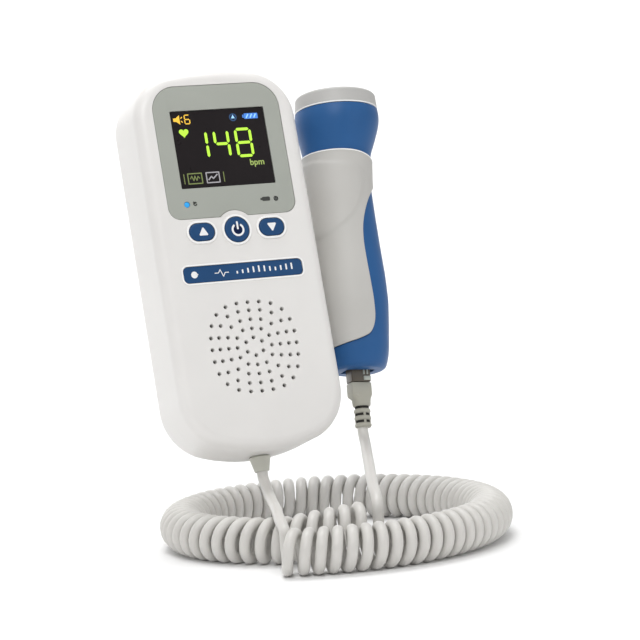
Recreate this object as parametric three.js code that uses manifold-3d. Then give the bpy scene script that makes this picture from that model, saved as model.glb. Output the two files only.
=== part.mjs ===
// Handheld fetal doppler monitor with a docked probe and a curly cord, in millimetres, +Z up.
// The origin is the mount point on the flat rear face of the monitor, which leans back as held up
// over a table. Inside the monitor's own frame x runs across it, y into its depth from the front
// face and z up its length from its middle.

import * as THREE from 'three';
import { mergeVertices } from 'three/addons/utils/BufferGeometryUtils.js';
import Module from 'manifold-3d';

const wasm = await Module();
wasm.setup();

// Gaps and overruns shared by all pieces.
const clearance = 0.3;
const overrun = 3;
const roundSides = 20;
const smallSides = 8;
const cornerSteps = 4;
const caseCornerSteps = 5;
const filletSteps = 3;

// Monitor case.
const caseWidth = 63.5;
const caseLength = 142.8;
const caseDepth = 28;
const caseWall = 2.2;
const partingDepth = 14;
const topCornerRadius = 17.5;
const bottomCornerRadius = 19;
const topEdgeRadius = 115;
const bottomEdgeRadius = 60;
const frontFillet = 4.4;
const rearFillet = 4.7;
const leanBackAngle = THREE.MathUtils.degToRad(16.2);
const mountHeight = 35;

// Display, its window and the bezel plate round them.
const bezelWidth = 49.7;
const bezelTopShare = 0.458;
const bezelBottomShare = 0.1078;
const bezelTop = bezelTopShare * caseLength;
const bezelBottom = bezelBottomShare * caseLength;
const bezelThickness = 1.2;
const bezelTopRadius = 9.5;
const bezelBottomRadius = 4.5;
const bezelNotchRadius = 7.5;
const screenWidth = 37;
const screenHeight = 29.4;
const screenCentreShare = 0.29;
const screenCentre = screenCentreShare * caseLength;
const windowThickness = 0.9;
const windowLedge = 1.4;
const gasketThickness = 0.9;
const displayMargin = 1;
const displayWidth = screenWidth + 2 * displayMargin;
const displayHeight = screenHeight + 2 * displayMargin;
const displayThickness = 2.6;

// Status lights.
const lightSpread = 17.45;
const lightHeightShare = 0.1457;
const lightHeight = lightHeightShare * caseLength;
const blueLightRadius = 1;
const darkLightRadius = 0.8;

// Buttons.
const buttonHeightShare = 0.0711;
const buttonHeight = buttonHeightShare * caseLength;
const powerButtonRadius = 4.95;
const pillLength = 10.35;
const pillWidth = 7.1;
const pillSpread = 13.66;
const buttonProud = 0.9;
const buttonFlangeWidth = 0.9;
const buttonFlangeThickness = 0.9;
const buttonRimWidth = 0.9;
const buttonRimHeight = 0.5;
const keypadWidth = 41;
const keypadHeight = 11;
const keypadThickness = 0.8;
const switchSize = 6;
const switchHeight = 1.1;

// Label strip under the buttons.
const stripLength = 46.4;
const stripWidth = 6;
const stripThickness = 0.6;
const stripCornerRadius = 1.3;
const stripHeightShare = -0.0375;
const stripHeight = stripHeightShare * caseLength;

// Loudspeaker and its grille of holes in rings, which are a little squarer than circles.
const grilleHeightShare = -0.2339;
const grilleHeight = grilleHeightShare * caseLength;
const grilleShift = -0.35;
const grilleSquareShare = 0.1;
const grilleHoleRadius = 0.6;
const grilleHoleSides = 6;
const grilleRings = [
  { radius: 3.3, holes: 6, turnShare: 0.5 },
  { radius: 6.7, holes: 12, turnShare: 0 },
  { radius: 10.05, holes: 16, turnShare: 0 },
  { radius: 13.4, holes: 20, turnShare: 0 },
  { radius: 16.45, holes: 24, turnShare: 0 },
];
const speakerRadius = 20;
const speakerDepth = 4.9;
const speakerRimThickness = 1;
const speakerRimWidth = 2.8;
const speakerConeThickness = 0.6;
const speakerBackRadius = 12;
const magnetRadius = 6.2;
const dustMeshRadius = 18.9;
const dustMeshThickness = 0.3;
const speakerGasketThickness = 0.6;

// Main board and the posts that carry it.
const boardDepth = 7;
const boardThickness = 1.6;
const boardWidth = 42.6;
const boardBottomShare = -0.063;
const boardBottom = boardBottomShare * caseLength;
const boardCornerRadius = 4;
const boardPostRadius = 2.3;
const boardPostSpread = 18.9;
const boardPostGap = 3;
const boardPostEdge = 2.6;
const boardPostTop = screenCentre + displayHeight / 2 + boardPostGap;
const boardPostBottom = boardBottom + boardPostEdge;
const boardTop = boardPostTop + boardPostEdge;
const boardScrewRadius = 0.9;
const boardScrewHeadRadius = 1.7;
const boardScrewHeadThickness = 1.1;
const boardScrewLength = 4;
const chipThickness = 1.3;
const processorSize = 10;
const processorRise = 36;
const amplifierSize = 6;
const amplifierRise = 15;
const capacitorRadius = 3.2;
const capacitorLength = 8;
const capacitorSpread = 12;

// Case screws and the bosses that they join.
const caseScrewSpread = 25;
const caseScrewHeightShare = 0.378;
const caseScrewHeight = caseScrewHeightShare * caseLength;
const caseBossRadius = 3.2;
const screwRadius = 1.2;
const screwHoleRadius = 1.5;
const screwHeadRadius = 2.2;
const screwHeadThickness = 1.6;
const screwHeadDepth = 21;
const screwLength = 12;

// Battery bay, its cells, contacts and door.
const cellRadius = 7.25;
const cellLength = 49.4;
const cellTipRadius = 2.7;
const cellTipLength = 1.1;
const cellGap = 0.7;
const cellWallGap = 0.4;
const bayFrontDepth = 9.4;
const bayWall = 1.3;
const bayFrame = 2.8;
const bayBottomGap = 14.9;
const contactWidth = 10;
const contactThickness = 0.4;
const springRadius = 3.4;
const springTipRadius = 2.2;
const springLength = 3.6;
const doorThickness = 1.8;
const doorLip = 1.9;
const doorCornerRadius = 3;
const cellSpread = cellRadius + cellGap / 2;
const bayHalfWidth = cellSpread + cellRadius + cellWallGap;
const bayLength = cellLength + cellTipLength + springLength + 2 * contactThickness + 2 * clearance;
const bayBottom = -caseLength / 2 + bayBottomGap;
const bayTop = bayBottom + bayLength;
const processorHeight = bayTop + processorRise;
const amplifierHeight = bayTop + amplifierRise;

// Strain relief where the cord leaves the monitor.
const reliefFlangeRadius = 4.6;
const reliefFlangeThickness = 1.6;
const reliefNeckRadius = 3.1;
const reliefTopRadius = 3.95;
const reliefTipRadius = 2.75;
const reliefLength = 4.8;

// Probe, in its own frame: z runs up its axis from the tail.
const probeDepth = 19;
const probeTailX = 46.63;
const probeTailZ = -43.2;
const probeTiltAngle = THREE.MathUtils.degToRad(5.43);
const handleLength = 100.4;
const gripRadius = 13.7;
const probeSides = 24;
const probeWall = 3.4;
const collarHeightShare = 0.835;
const collarHeight = collarHeightShare * handleLength;
const collarWall = 2;
const capHeight = 6.6;
const capTaper = 1.3;
const capEdgeRadius = 2.6;
const capWall = 2;
const crystalRadius = 9;
const crystalThickness = 1.2;
const backingRadius = 11;
const backingThickness = 5;
const sealThickness = 1.2;
const sealWidth = 1.3;
const panelProud = 0.8;
const panelThickness = 2.2;
const panelEdgeDepth = 4.2;
const panelWrapDepth = 6.5;
const panelWrapShare = 0.35;
const panelDockGap = 2.4;
const probeBoardWidth = 11;
const probeBoardThickness = 1.6;
const probeBoardTopShare = 0.72;
const probeBoardTop = probeBoardTopShare * handleLength;
const jackWidth = 10.4;
const jackDepth = 9.4;
const jackLength = 12;
const tailWall = 2.6;
const lowerPocketTopShare = 0.282;
const lowerPocketTop = lowerPocketTopShare * handleLength;

// Handle profile: height as a share of its length, then radius and sideways shift as shares of the
// grip radius.
const handleProfileShares = [
  [0, 0.73, 0],
  [0.012, 0.79, 0],
  [0.035, 0.85, 0],
  [0.065, 0.898, 0],
  [0.161, 0.956, 0],
  [0.255, 1, 0],
  [0.355, 0.974, 0],
  [0.473, 0.91, -0.01],
  [0.587, 0.876, -0.04],
  [0.703, 0.88, -0.1],
  [0.823, 0.93, -0.095],
  [0.885, 1.055, -0.04],
  [0.944, 1.165, -0.01],
  [0.974, 1.175, 0],
  [1, 1.15, 0],
];

// Right edge of the grip panel: height as a share of the handle's length, x of the grip radius.
const panelEdgeShares = [
  [0.066, -1.2],
  [0.091, -0.51],
  [0.101, -0.25],
  [0.12, 0.04],
  [0.15, 0.17],
  [0.185, 0.22],
  [0.235, 0.21],
  [0.315, 0.16],
  [0.394, 0.11],
  [0.475, 0.085],
  [0.534, 0.12],
  [0.588, 0.23],
  [0.639, 0.4],
  [0.679, 0.62],
  [0.708, 0.85],
  [0.739, 1.05],
];

// Top edge of the grip panel from right to left, in the same shares.
const panelTopShares = [
  [0.744, 1.3],
  [0.785, 1.15],
  [0.8, 0.78],
  [0.81, 0.52],
  [0.818, 0.22],
  [0.822, -0.05],
  [0.825, -0.5],
  [0.825, -2],
];

// Dock on the side of the case and the rail that the probe slides onto.
const dockBottom = 4;
const dockTop = 24;
const dockDepth = 8.2;
const dockFaceGap = 0.4;
const railNeckWidth = 3;
const railHeadWidth = 6;
const railHeadThickness = 1.6;
const railHeadX = -10.2;
const railGap = 0.4;

// Plug on the probe's tail, in the probe's frame.
const plugNoseWidth = 7.7;
const plugNoseDepth = 5.6;
const plugInsertion = 8;
const plugNoseShown = 4.2;
const plugHoleGap = 0.4;
const bootWidth = 8.1;
const bootDepth = 6.2;
const bootLength = 8.8;
const bootEndWidth = 6.2;
const bootEndDepth = 6;
const tailRadius = 3.1;
const tailLength = 7.4;
const tailSlots = 3;
const tailSlotShare = 0.5;
const tailCoreShare = 0.76;

// Cord: a curly part laid as a shrinking ring on the table, whose last part the probe lifts a
// little, and two plain stretches.
const cordRadius = 2;
const cordSides = 10;
const ringCentreX = 21;
const ringCentreY = -45;
const ringHeight = -123.7;
const ringStartRadius = 69.4;
const ringShrinkPerTurn = 25;
const ringStartAngle = THREE.MathUtils.degToRad(236);
const ringTurns = 1.1015;
const ringEndLift = 3.5;
const ringLiftTurns = 0.12;
const curlRadius = 6.3;
const curls = 75.5;
const endCurlSpread = 1.15;
const curlSteps = 8;
const curlSides = 5;
const straightEnd = 2 * cordRadius;
const stretchStepLength = 9;

const unitStretchRoute = [
  [0, -44.65, -103.5],
  [0, -45.3, -105.8],
  [-0.9, -50, -108.6],
  [-2.8, -57.5, -111.2],
  [-6.3, -70, -113],
  [-8.2, -76, -113.3],
  [-10.2, -82, -113.9],
  [-12.1, -88, -115],
  [-13.6, -94.2, -116.5],
  [-14.27, -97.2, -117.9],
  [-14.29, -97.3, -119.4],
];
const probeStretchRoute = [
  [23.14, -93.11, -115.9],
  [23.16, -92.95, -113.6],
  [24.3, -90, -111.1],
  [27.6, -80.5, -108.2],
  [31.7, -70, -106],
  [35.8, -60, -103.8],
  [39.8, -50, -101.4],
  [42.6, -43, -99.2],
  [44, -39, -97.2],
  [44.49, -36.78, -94.3],
  [44.64, -36.29, -92.66],
];

// Solids.

function toSolid(geometry) {
  const bare = geometry.clone();
  for (const name of ['normal', 'uv', 'uv1', 'color']) {
    bare.deleteAttribute(name);
  }
  const merged = mergeVertices(bare, 1e-4);
  return new wasm.Manifold(new wasm.Mesh({
    numProp: 3,
    vertProperties: new Float32Array(merged.attributes.position.array),
    triVerts: new Uint32Array(merged.index.array),
  }));
}

function toGeometry(solid) {
  const mesh = solid.getMesh();
  const geometry = new THREE.BufferGeometry();
  geometry.setAttribute('position', new THREE.BufferAttribute(new Float32Array(mesh.vertProperties), 3));
  geometry.setIndex(new THREE.BufferAttribute(new Uint32Array(mesh.triVerts), 1));
  geometry.computeVertexNormals();
  return geometry;
}

function join(solids) {
  return solids.reduce((whole, solid) => whole.add(solid));
}

function cut(solid, tools) {
  return tools.reduce((rest, tool) => rest.subtract(tool), solid);
}

function box(x0, x1, y0, y1, z0, z1) {
  const geometry = new THREE.BoxGeometry(x1 - x0, y1 - y0, z1 - z0);
  geometry.translate((x0 + x1) / 2, (y0 + y1) / 2, (z0 + z1) / 2);
  return toSolid(geometry);
}

// A cylinder along y from one depth to another.
function roundBar(x, z, radius, y0, y1, sides = roundSides) {
  const geometry = new THREE.CylinderGeometry(radius, radius, y1 - y0, sides);
  geometry.translate(x, (y0 + y1) / 2, z);
  return toSolid(geometry);
}

// An outline drawn in x and z, carried along y from one depth to another.
function slab(shape, y0, y1) {
  const geometry = new THREE.ExtrudeGeometry(shape, { depth: y1 - y0, bevelEnabled: false });
  geometry.rotateX(Math.PI / 2);
  geometry.translate(0, y1, 0);
  return toSolid(geometry);
}

// A closed profile of radius and height turned about z.
function turned(profile, sides = roundSides) {
  const points = profile.map(([radius, height]) => new THREE.Vector2(radius, height));
  const geometry = new THREE.LatheGeometry(points, sides);
  geometry.rotateX(Math.PI / 2);
  return toSolid(geometry);
}

// Rings of points joined in order and closed by a fan at each end. The rings run anticlockwise as
// seen from the last ring's side.
function loft(rings) {
  const count = rings[0].length;
  const positions = rings.flat().flatMap((point) => [point.x, point.y, point.z]);
  const indices = [];
  for (let ring = 0; ring + 1 < rings.length; ring += 1) {
    for (let step = 0; step < count; step += 1) {
      const a = ring * count + step;
      const b = ring * count + (step + 1) % count;
      indices.push(a, b, a + count, b, b + count, a + count);
    }
  }
  for (const [ring, turn] of [[0, -1], [rings.length - 1, 1]]) {
    const middle = positions.length / 3;
    const centre = rings[ring].reduce((sum, point) => sum.clone().add(point), new THREE.Vector3());
    centre.divideScalar(count);
    positions.push(centre.x, centre.y, centre.z);
    for (let step = 0; step < count; step += 1) {
      const a = ring * count + step;
      const b = ring * count + (step + 1) % count;
      indices.push(middle, turn > 0 ? a : b, turn > 0 ? b : a);
    }
  }
  const geometry = new THREE.BufferGeometry();
  geometry.setAttribute('position', new THREE.Float32BufferAttribute(positions, 3));
  geometry.setIndex(indices);
  return geometry;
}

function piece(name, geometry, color, roughness, metalness = 0) {
  const shown = geometry.isBufferGeometry ? geometry : toGeometry(geometry);
  const mesh = new THREE.Mesh(shown, new THREE.MeshStandardMaterial({ color, roughness, metalness }));
  mesh.name = name;
  return mesh;
}

// Outlines.

function arcPoints(centreX, centreZ, radius, from, to, steps) {
  const points = [];
  for (let step = 0; step < steps; step += 1) {
    const angle = from + (to - from) * step / steps;
    points.push(new THREE.Vector2(centreX + radius * Math.cos(angle), centreZ + radius * Math.sin(angle)));
  }
  return points;
}

// One end of the case: where its corner arcs are centred and where they meet the end's flat arc.
function caseEnd(cornerRadius, edgeRadius) {
  const cornerX = caseWidth / 2 - cornerRadius;
  const edgeCentre = caseLength / 2 - edgeRadius;
  const cornerZ = edgeCentre + Math.sqrt((edgeRadius - cornerRadius) ** 2 - cornerX ** 2);
  const angle = Math.atan2(cornerZ - edgeCentre, cornerX);
  return { cornerX, cornerZ, edgeCentre, angle, cornerRadius, edgeRadius };
}

function caseOutline(inset) {
  const points = [];
  for (const [end, turn] of [[caseEnd(topCornerRadius, topEdgeRadius), 0],
    [caseEnd(bottomCornerRadius, bottomEdgeRadius), Math.PI]]) {
    const side = turn === 0 ? 1 : -1;
    const corner = end.cornerRadius - inset;
    const edge = end.edgeRadius - inset;
    const { cornerX, cornerZ, edgeCentre } = end;
    const [flatFrom, flatTo, last] = [turn + end.angle, turn + Math.PI - end.angle, turn + Math.PI];
    points.push(
      ...arcPoints(side * cornerX, side * cornerZ, corner, turn, flatFrom, caseCornerSteps),
      ...arcPoints(0, side * edgeCentre, edge, flatFrom, flatTo, caseCornerSteps),
      ...arcPoints(-side * cornerX, side * cornerZ, corner, flatTo, last, caseCornerSteps),
      new THREE.Vector2(-side * (caseWidth / 2 - inset), side * cornerZ),
    );
  }
  return points;
}

function cornerArc(x, z, radius, quarter) {
  return [
    ...arcPoints(x, z, radius, quarter * Math.PI / 2, (quarter + 1) * Math.PI / 2, cornerSteps),
    ...arcPoints(x, z, radius, (quarter + 1) * Math.PI / 2, 0, 1),
  ];
}

function roundedShape(left, right, bottom, top, radius) {
  return new THREE.Shape([
    ...cornerArc(right - radius, top - radius, radius, 0),
    ...cornerArc(left + radius, top - radius, radius, 1),
    ...cornerArc(left + radius, bottom + radius, radius, 2),
    ...cornerArc(right - radius, bottom + radius, radius, 3),
  ]);
}

function centredShape(centreX, centreZ, width, height, radius) {
  return roundedShape(centreX - width / 2, centreX + width / 2, centreZ - height / 2,
    centreZ + height / 2, radius);
}

function pillShape(centreX, grow) {
  const radius = pillWidth / 2 + grow;
  const reach = pillLength / 2 - pillWidth / 2;
  const steps = 2 * cornerSteps;
  return new THREE.Shape([
    ...arcPoints(centreX + reach, buttonHeight, radius, -Math.PI / 2, Math.PI / 2, steps),
    ...arcPoints(centreX + reach, buttonHeight, radius, Math.PI / 2, 0, 1),
    ...arcPoints(centreX - reach, buttonHeight, radius, Math.PI / 2, Math.PI * 3 / 2, steps),
    ...arcPoints(centreX - reach, buttonHeight, radius, Math.PI * 3 / 2, 0, 1),
  ]);
}

function discShape(centreX, centreZ, radius) {
  return new THREE.Shape(arcPoints(centreX, centreZ, radius, 0, Math.PI * 2, roundSides));
}

function screenBlock(width, height, y0, y1) {
  return box(-width / 2, width / 2, y0, y1, screenCentre - height / 2, screenCentre + height / 2);
}

// The bezel plate's outline, whose bottom edge makes room for the power button.
function bezelShape(grow) {
  const half = bezelWidth / 2 + grow;
  const top = bezelTop + grow;
  const bottom = bezelBottom - grow;
  const topRadius = bezelTopRadius + grow;
  const bottomRadius = bezelBottomRadius + grow;
  const notch = bezelNotchRadius - grow;
  const notchAngle = Math.asin((bottom - buttonHeight) / notch);
  return new THREE.Shape([
    ...cornerArc(half - topRadius, top - topRadius, topRadius, 0),
    ...cornerArc(-half + topRadius, top - topRadius, topRadius, 1),
    ...cornerArc(-half + bottomRadius, bottom + bottomRadius, bottomRadius, 2),
    ...arcPoints(0, buttonHeight, notch, Math.PI - notchAngle, notchAngle, 2 * cornerSteps),
    ...arcPoints(0, buttonHeight, notch, notchAngle, 0, 1),
    ...cornerArc(half - bottomRadius, bottom + bottomRadius, bottomRadius, 3),
  ]);
}

// The case's outer body between two depths, with a quarter-round edge at the deep end that is given.
function caseBody(inset, flatDepth, roundDepth, fillet) {
  const toward = Math.sign(flatDepth - roundDepth);
  const rings = [];
  rings.push([inset, flatDepth]);
  for (let step = 0; step <= filletSteps; step += 1) {
    const angle = Math.PI / 2 * (1 - step / filletSteps);
    const depth = roundDepth + toward * fillet * (1 - Math.cos(angle));
    rings.push([inset + fillet * (1 - Math.sin(angle)), depth]);
  }
  if (toward < 0) {
    rings.reverse();
  }
  return toSolid(loft(rings.map(([ringInset, depth]) => (
    caseOutline(ringInset).map((point) => new THREE.Vector3(point.x, depth, point.y))
  ))));
}

function mirroredPlaces(spread, heights) {
  return heights.flatMap((height) => [[-spread, height], [spread, height]]);
}

const caseScrewPlaces = mirroredPlaces(caseScrewSpread, [-caseScrewHeight, caseScrewHeight]);
const boardPostPlaces = mirroredPlaces(boardPostSpread, [boardPostBottom, boardPostTop]);

// Front cover and what sits in its face.

function grilleHoles() {
  const holes = [];
  for (const ring of grilleRings) {
    for (let hole = 0; hole < ring.holes; hole += 1) {
      const angle = 2 * Math.PI * (hole + ring.turnShare) / ring.holes;
      const reach = ring.radius * (1 + grilleSquareShare * Math.sin(2 * angle) ** 2);
      const x = grilleShift + reach * Math.cos(angle);
      const z = grilleHeight + reach * Math.sin(angle);
      holes.push(roundBar(x, z, grilleHoleRadius, -overrun, caseWall + overrun, grilleHoleSides));
    }
  }
  return holes;
}

function reliefHole() {
  const geometry = new THREE.CylinderGeometry(reliefNeckRadius + clearance, reliefNeckRadius + clearance,
    caseWall + 2 * overrun, roundSides);
  geometry.rotateX(Math.PI / 2);
  geometry.translate(0, partingDepth, -caseLength / 2 + caseWall / 2);
  return toSolid(geometry);
}

function frontCover() {
  const outer = caseBody(0, partingDepth - clearance / 2, 0, frontFillet);
  const inner = caseBody(caseWall, partingDepth + overrun, caseWall, frontFillet - caseWall);
  const rim = clearance + buttonRimWidth;
  const rims = [
    slab(discShape(0, buttonHeight, powerButtonRadius + rim), -buttonRimHeight, caseWall),
    slab(pillShape(-pillSpread, rim), -buttonRimHeight, caseWall),
    slab(pillShape(pillSpread, rim), -buttonRimHeight, caseWall),
  ];
  const hole = (x, height, radius) => (
    roundBar(x, height, radius + clearance, -overrun, caseWall + overrun, smallSides)
  );
  const screwTip = screwHeadDepth - screwLength - clearance;
  const boardScrewTip = boardDepth + boardThickness - boardScrewLength - clearance;
  const bosses = caseScrewPlaces.map(([x, z]) => (
    roundBar(x, z, caseBossRadius, caseWall - clearance, partingDepth - clearance / 2, smallSides)
  ));
  const posts = boardPostPlaces.map(([x, z]) => (
    roundBar(x, z, boardPostRadius, caseWall - clearance, boardDepth - clearance, smallSides)
  ));
  const shell = join([outer.subtract(inner), ...rims, ...bosses, ...posts]);
  return cut(shell, [
    slab(bezelShape(clearance), -overrun, bezelThickness + clearance),
    screenBlock(screenWidth - 2 * windowLedge, screenHeight - 2 * windowLedge, -overrun, caseWall + overrun),
    hole(-lightSpread, lightHeight, blueLightRadius),
    hole(lightSpread, lightHeight, darkLightRadius),
    slab(discShape(0, buttonHeight, powerButtonRadius + clearance), -overrun, caseWall + overrun),
    slab(pillShape(-pillSpread, clearance), -overrun, caseWall + overrun),
    slab(pillShape(pillSpread, clearance), -overrun, caseWall + overrun),
    slab(centredShape(0, stripHeight, stripLength + 2 * clearance, stripWidth + 2 * clearance,
      stripCornerRadius + clearance), -overrun, stripThickness + clearance),
    ...caseScrewPlaces.map(([x, z]) => (
      roundBar(x, z, screwHoleRadius, screwTip, partingDepth + overrun, smallSides)
    )),
    ...boardPostPlaces.map(([x, z]) => (
      roundBar(x, z, boardScrewRadius + clearance, boardScrewTip, boardDepth + overrun, smallSides)
    )),
    reliefHole(),
    ...grilleHoles(),
  ]);
}

function displayBezel() {
  const plate = slab(bezelShape(0), 0, bezelThickness);
  return cut(plate, [
    screenBlock(screenWidth, screenHeight, -overrun, bezelThickness + overrun),
    roundBar(-lightSpread, lightHeight, blueLightRadius + clearance, -overrun, overrun, smallSides),
    roundBar(lightSpread, lightHeight, darkLightRadius + clearance, -overrun, overrun, smallSides),
  ]);
}

function displayWindow() {
  return screenBlock(screenWidth - 2 * clearance, screenHeight - 2 * clearance,
    bezelThickness - windowThickness, bezelThickness);
}

function displayModule() {
  const back = boardDepth - clearance;
  return screenBlock(displayWidth, displayHeight, back - displayThickness, back);
}

function displayGasket() {
  const back = boardDepth - displayThickness - 2 * clearance;
  const ring = screenBlock(displayWidth, displayHeight, back - gasketThickness, back);
  const front = back - gasketThickness - overrun;
  return ring.subtract(screenBlock(screenWidth, screenHeight, front, back + overrun));
}

function lightPipe(x, radius) {
  return roundBar(x, lightHeight, radius, 0, boardDepth - clearance, smallSides);
}

function labelStrip() {
  return slab(centredShape(0, stripHeight, stripLength, stripWidth, stripCornerRadius), 0, stripThickness);
}

// Buttons, with a flange behind the cover's wall that keeps them in.

function button(shapeGrownBy) {
  const flangeFront = caseWall + clearance;
  return join([
    slab(shapeGrownBy(0), -buttonProud, flangeFront + buttonFlangeThickness / 2),
    slab(shapeGrownBy(clearance + buttonFlangeWidth), flangeFront, flangeFront + buttonFlangeThickness),
  ]);
}

function powerShape(grow) {
  return discShape(0, buttonHeight, powerButtonRadius + grow);
}

function keypadMembrane() {
  const back = boardDepth - switchHeight - 2 * clearance;
  const shape = centredShape(0, buttonHeight, keypadWidth, keypadHeight, stripCornerRadius);
  return slab(shape, back - keypadThickness, back);
}

function switchBody(x) {
  const back = boardDepth - clearance;
  return box(x - switchSize / 2, x + switchSize / 2, back - switchHeight, back,
    buttonHeight - switchSize / 2, buttonHeight + switchSize / 2);
}

// Loudspeaker, turned about its own axis and laid along y.

function speakerTurned(profile, sides) {
  const solid = turned(profile, sides);
  return solid.rotate([-90, 0, 0]).translate([0, 0, grilleHeight]);
}

const meshFront = caseWall + clearance;
const speakerGasketFront = meshFront + dustMeshThickness + clearance;
const speakerFront = speakerGasketFront + speakerGasketThickness + clearance;
const speakerBack = speakerFront + speakerDepth;

function speakerFrame() {
  const rimInner = speakerRadius - speakerRimWidth;
  const cupBack = speakerBack - speakerRimThickness;
  return speakerTurned([
    [rimInner, speakerFront],
    [speakerRadius, speakerFront],
    [speakerRadius, speakerFront + speakerRimThickness],
    [speakerBackRadius, speakerBack],
    [magnetRadius + clearance, speakerBack],
    [magnetRadius + clearance, cupBack],
    [speakerBackRadius - speakerRimThickness, cupBack],
    [rimInner, speakerFront + speakerRimThickness],
    [rimInner, speakerFront],
  ]);
}

function speakerCone() {
  const outer = speakerRadius - speakerRimWidth - clearance;
  const middle = speakerBack - speakerRimThickness * 2 - 2 * clearance;
  return speakerTurned([
    [0, middle - speakerConeThickness],
    [magnetRadius, middle - speakerConeThickness],
    [outer, speakerFront],
    [outer, speakerFront + speakerConeThickness],
    [magnetRadius, middle],
    [0, middle],
  ]);
}

function speakerMagnet() {
  const front = speakerBack - speakerRimThickness * 2 - clearance;
  return roundBar(0, grilleHeight, magnetRadius, front, speakerBack);
}

function speakerGasket() {
  const back = speakerGasketFront + speakerGasketThickness;
  const ring = roundBar(0, grilleHeight, speakerRadius, speakerGasketFront, back);
  return ring.subtract(roundBar(0, grilleHeight, speakerRadius - speakerRimWidth, 0, speakerFront));
}

function dustMesh() {
  return roundBar(0, grilleHeight, dustMeshRadius, meshFront, meshFront + dustMeshThickness);
}

// Main board, its parts and its screws.

function mainBoard() {
  const plate = slab(roundedShape(-boardWidth / 2, boardWidth / 2, boardBottom, boardTop, boardCornerRadius),
    boardDepth, boardDepth + boardThickness);
  return cut(plate, boardPostPlaces.map(([x, z]) => (
    roundBar(x, z, boardScrewRadius + clearance, boardDepth - overrun, boardDepth + boardThickness + overrun,
      smallSides)
  )));
}

const boardBack = boardDepth + boardThickness + clearance;

function chip(height, size) {
  const half = size / 2;
  return box(-half, half, boardBack, boardBack + chipThickness, height - half, height + half);
}

function capacitor() {
  return roundBar(capacitorSpread, amplifierHeight, capacitorRadius, boardBack, boardBack + capacitorLength);
}

function boardScrew([x, z], place) {
  const back = boardBack + boardScrewHeadThickness;
  const solid = join([
    roundBar(x, z, boardScrewHeadRadius, boardBack, back, smallSides),
    roundBar(x, z, boardScrewRadius, boardBack - boardScrewLength, back, smallSides),
  ]);
  return piece(`board_screw_${place + 1}`, solid, shades.steel, 0.3, 1);
}

// Rear cover with the battery bay.

const doorRecessDepth = caseDepth - doorThickness - clearance;
const cellDepth = (bayFrontDepth + bayWall + doorRecessDepth) / 2;

function doorShape(grow) {
  const half = bayHalfWidth + doorLip + grow;
  const bottom = bayBottom - doorLip - grow;
  return roundedShape(-half, half, bottom, bayTop + doorLip + grow, doorCornerRadius + grow);
}

function rearCover() {
  const outer = caseBody(0, partingDepth + clearance / 2, caseDepth, rearFillet);
  const inner = caseBody(caseWall, partingDepth - overrun, caseDepth - caseWall, rearFillet - caseWall);
  const bay = box(-bayHalfWidth - bayWall, bayHalfWidth + bayWall, bayFrontDepth, caseDepth - caseWall / 2,
    bayBottom - bayWall, bayTop + bayWall);
  const frame = box(-bayHalfWidth - bayFrame, bayHalfWidth + bayFrame, doorRecessDepth - bayWall,
    caseDepth - caseWall / 2, bayBottom - bayFrame, bayTop + bayFrame);
  const bosses = caseScrewPlaces.map(([x, z]) => (
    roundBar(x, z, caseBossRadius, partingDepth + clearance / 2, caseDepth - caseWall / 2, smallSides)
  ));
  return cut(join([outer.subtract(inner), bay, frame, ...bosses]), [
    box(-bayHalfWidth, bayHalfWidth, bayFrontDepth + bayWall, caseDepth + overrun, bayBottom, bayTop),
    slab(doorShape(clearance), doorRecessDepth, caseDepth + overrun),
    ...caseScrewPlaces.map(([x, z]) => roundBar(x, z, screwHoleRadius, 0, caseDepth + overrun, smallSides)),
    ...caseScrewPlaces.map(([x, z]) => (
      roundBar(x, z, screwHeadRadius + clearance, screwHeadDepth, caseDepth + overrun, smallSides)
    )),
    reliefHole(),
  ]);
}

function batteryDoor() {
  return slab(doorShape(0), caseDepth - doorThickness, caseDepth);
}

function caseScrew([x, z], place) {
  const seat = screwHeadDepth + clearance;
  const solid = join([
    roundBar(x, z, screwHeadRadius, seat, seat + screwHeadThickness, smallSides),
    roundBar(x, z, screwRadius, seat - screwLength, seat + screwHeadThickness / 2, smallSides),
  ]);
  return piece(`case_screw_${place + 1}`, solid, shades.steel, 0.3, 1);
}

// A cell stands with its tip up where turn is 1 and down where turn is -1.
function cellPlace(turn) {
  const tipEnd = turn > 0 ? bayTop - contactThickness - clearance : bayBottom + contactThickness + clearance;
  return { x: -turn * cellSpread, tipEnd };
}

function batteryCell(turn) {
  const { x, tipEnd } = cellPlace(turn);
  const shoulder = tipEnd - turn * cellTipLength;
  const foot = shoulder - turn * cellLength;
  const profile = [[0, foot], [cellRadius, foot], [cellRadius, shoulder], [cellTipRadius, shoulder],
    [cellTipRadius, tipEnd], [0, tipEnd]];
  return turned(turn > 0 ? profile : profile.reverse()).translate([x, cellDepth, 0]);
}

function contactPlate(x, near, far) {
  const half = contactWidth / 2;
  const [low, high] = [Math.min(near, far), Math.max(near, far)];
  return box(x - half, x + half, cellDepth - half, cellDepth + half, low, high);
}

function tipContact(turn) {
  const { x, tipEnd } = cellPlace(turn);
  const near = tipEnd + turn * clearance / 2;
  return contactPlate(x, near, near + turn * contactThickness);
}

function springContact(turn) {
  const { x, tipEnd } = cellPlace(turn);
  const foot = tipEnd - turn * (cellTipLength + cellLength);
  const plateNear = foot - turn * springLength;
  const plate = contactPlate(x, plateNear, plateNear - turn * contactThickness);
  const tip = foot - turn * clearance;
  const base = plateNear - turn * contactThickness / 2;
  const profile = [[0, base], [springRadius, base], [springTipRadius, tip], [0, tip]];
  return plate.add(turned(turn > 0 ? profile : profile.reverse()).translate([x, cellDepth, 0]));
}

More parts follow.
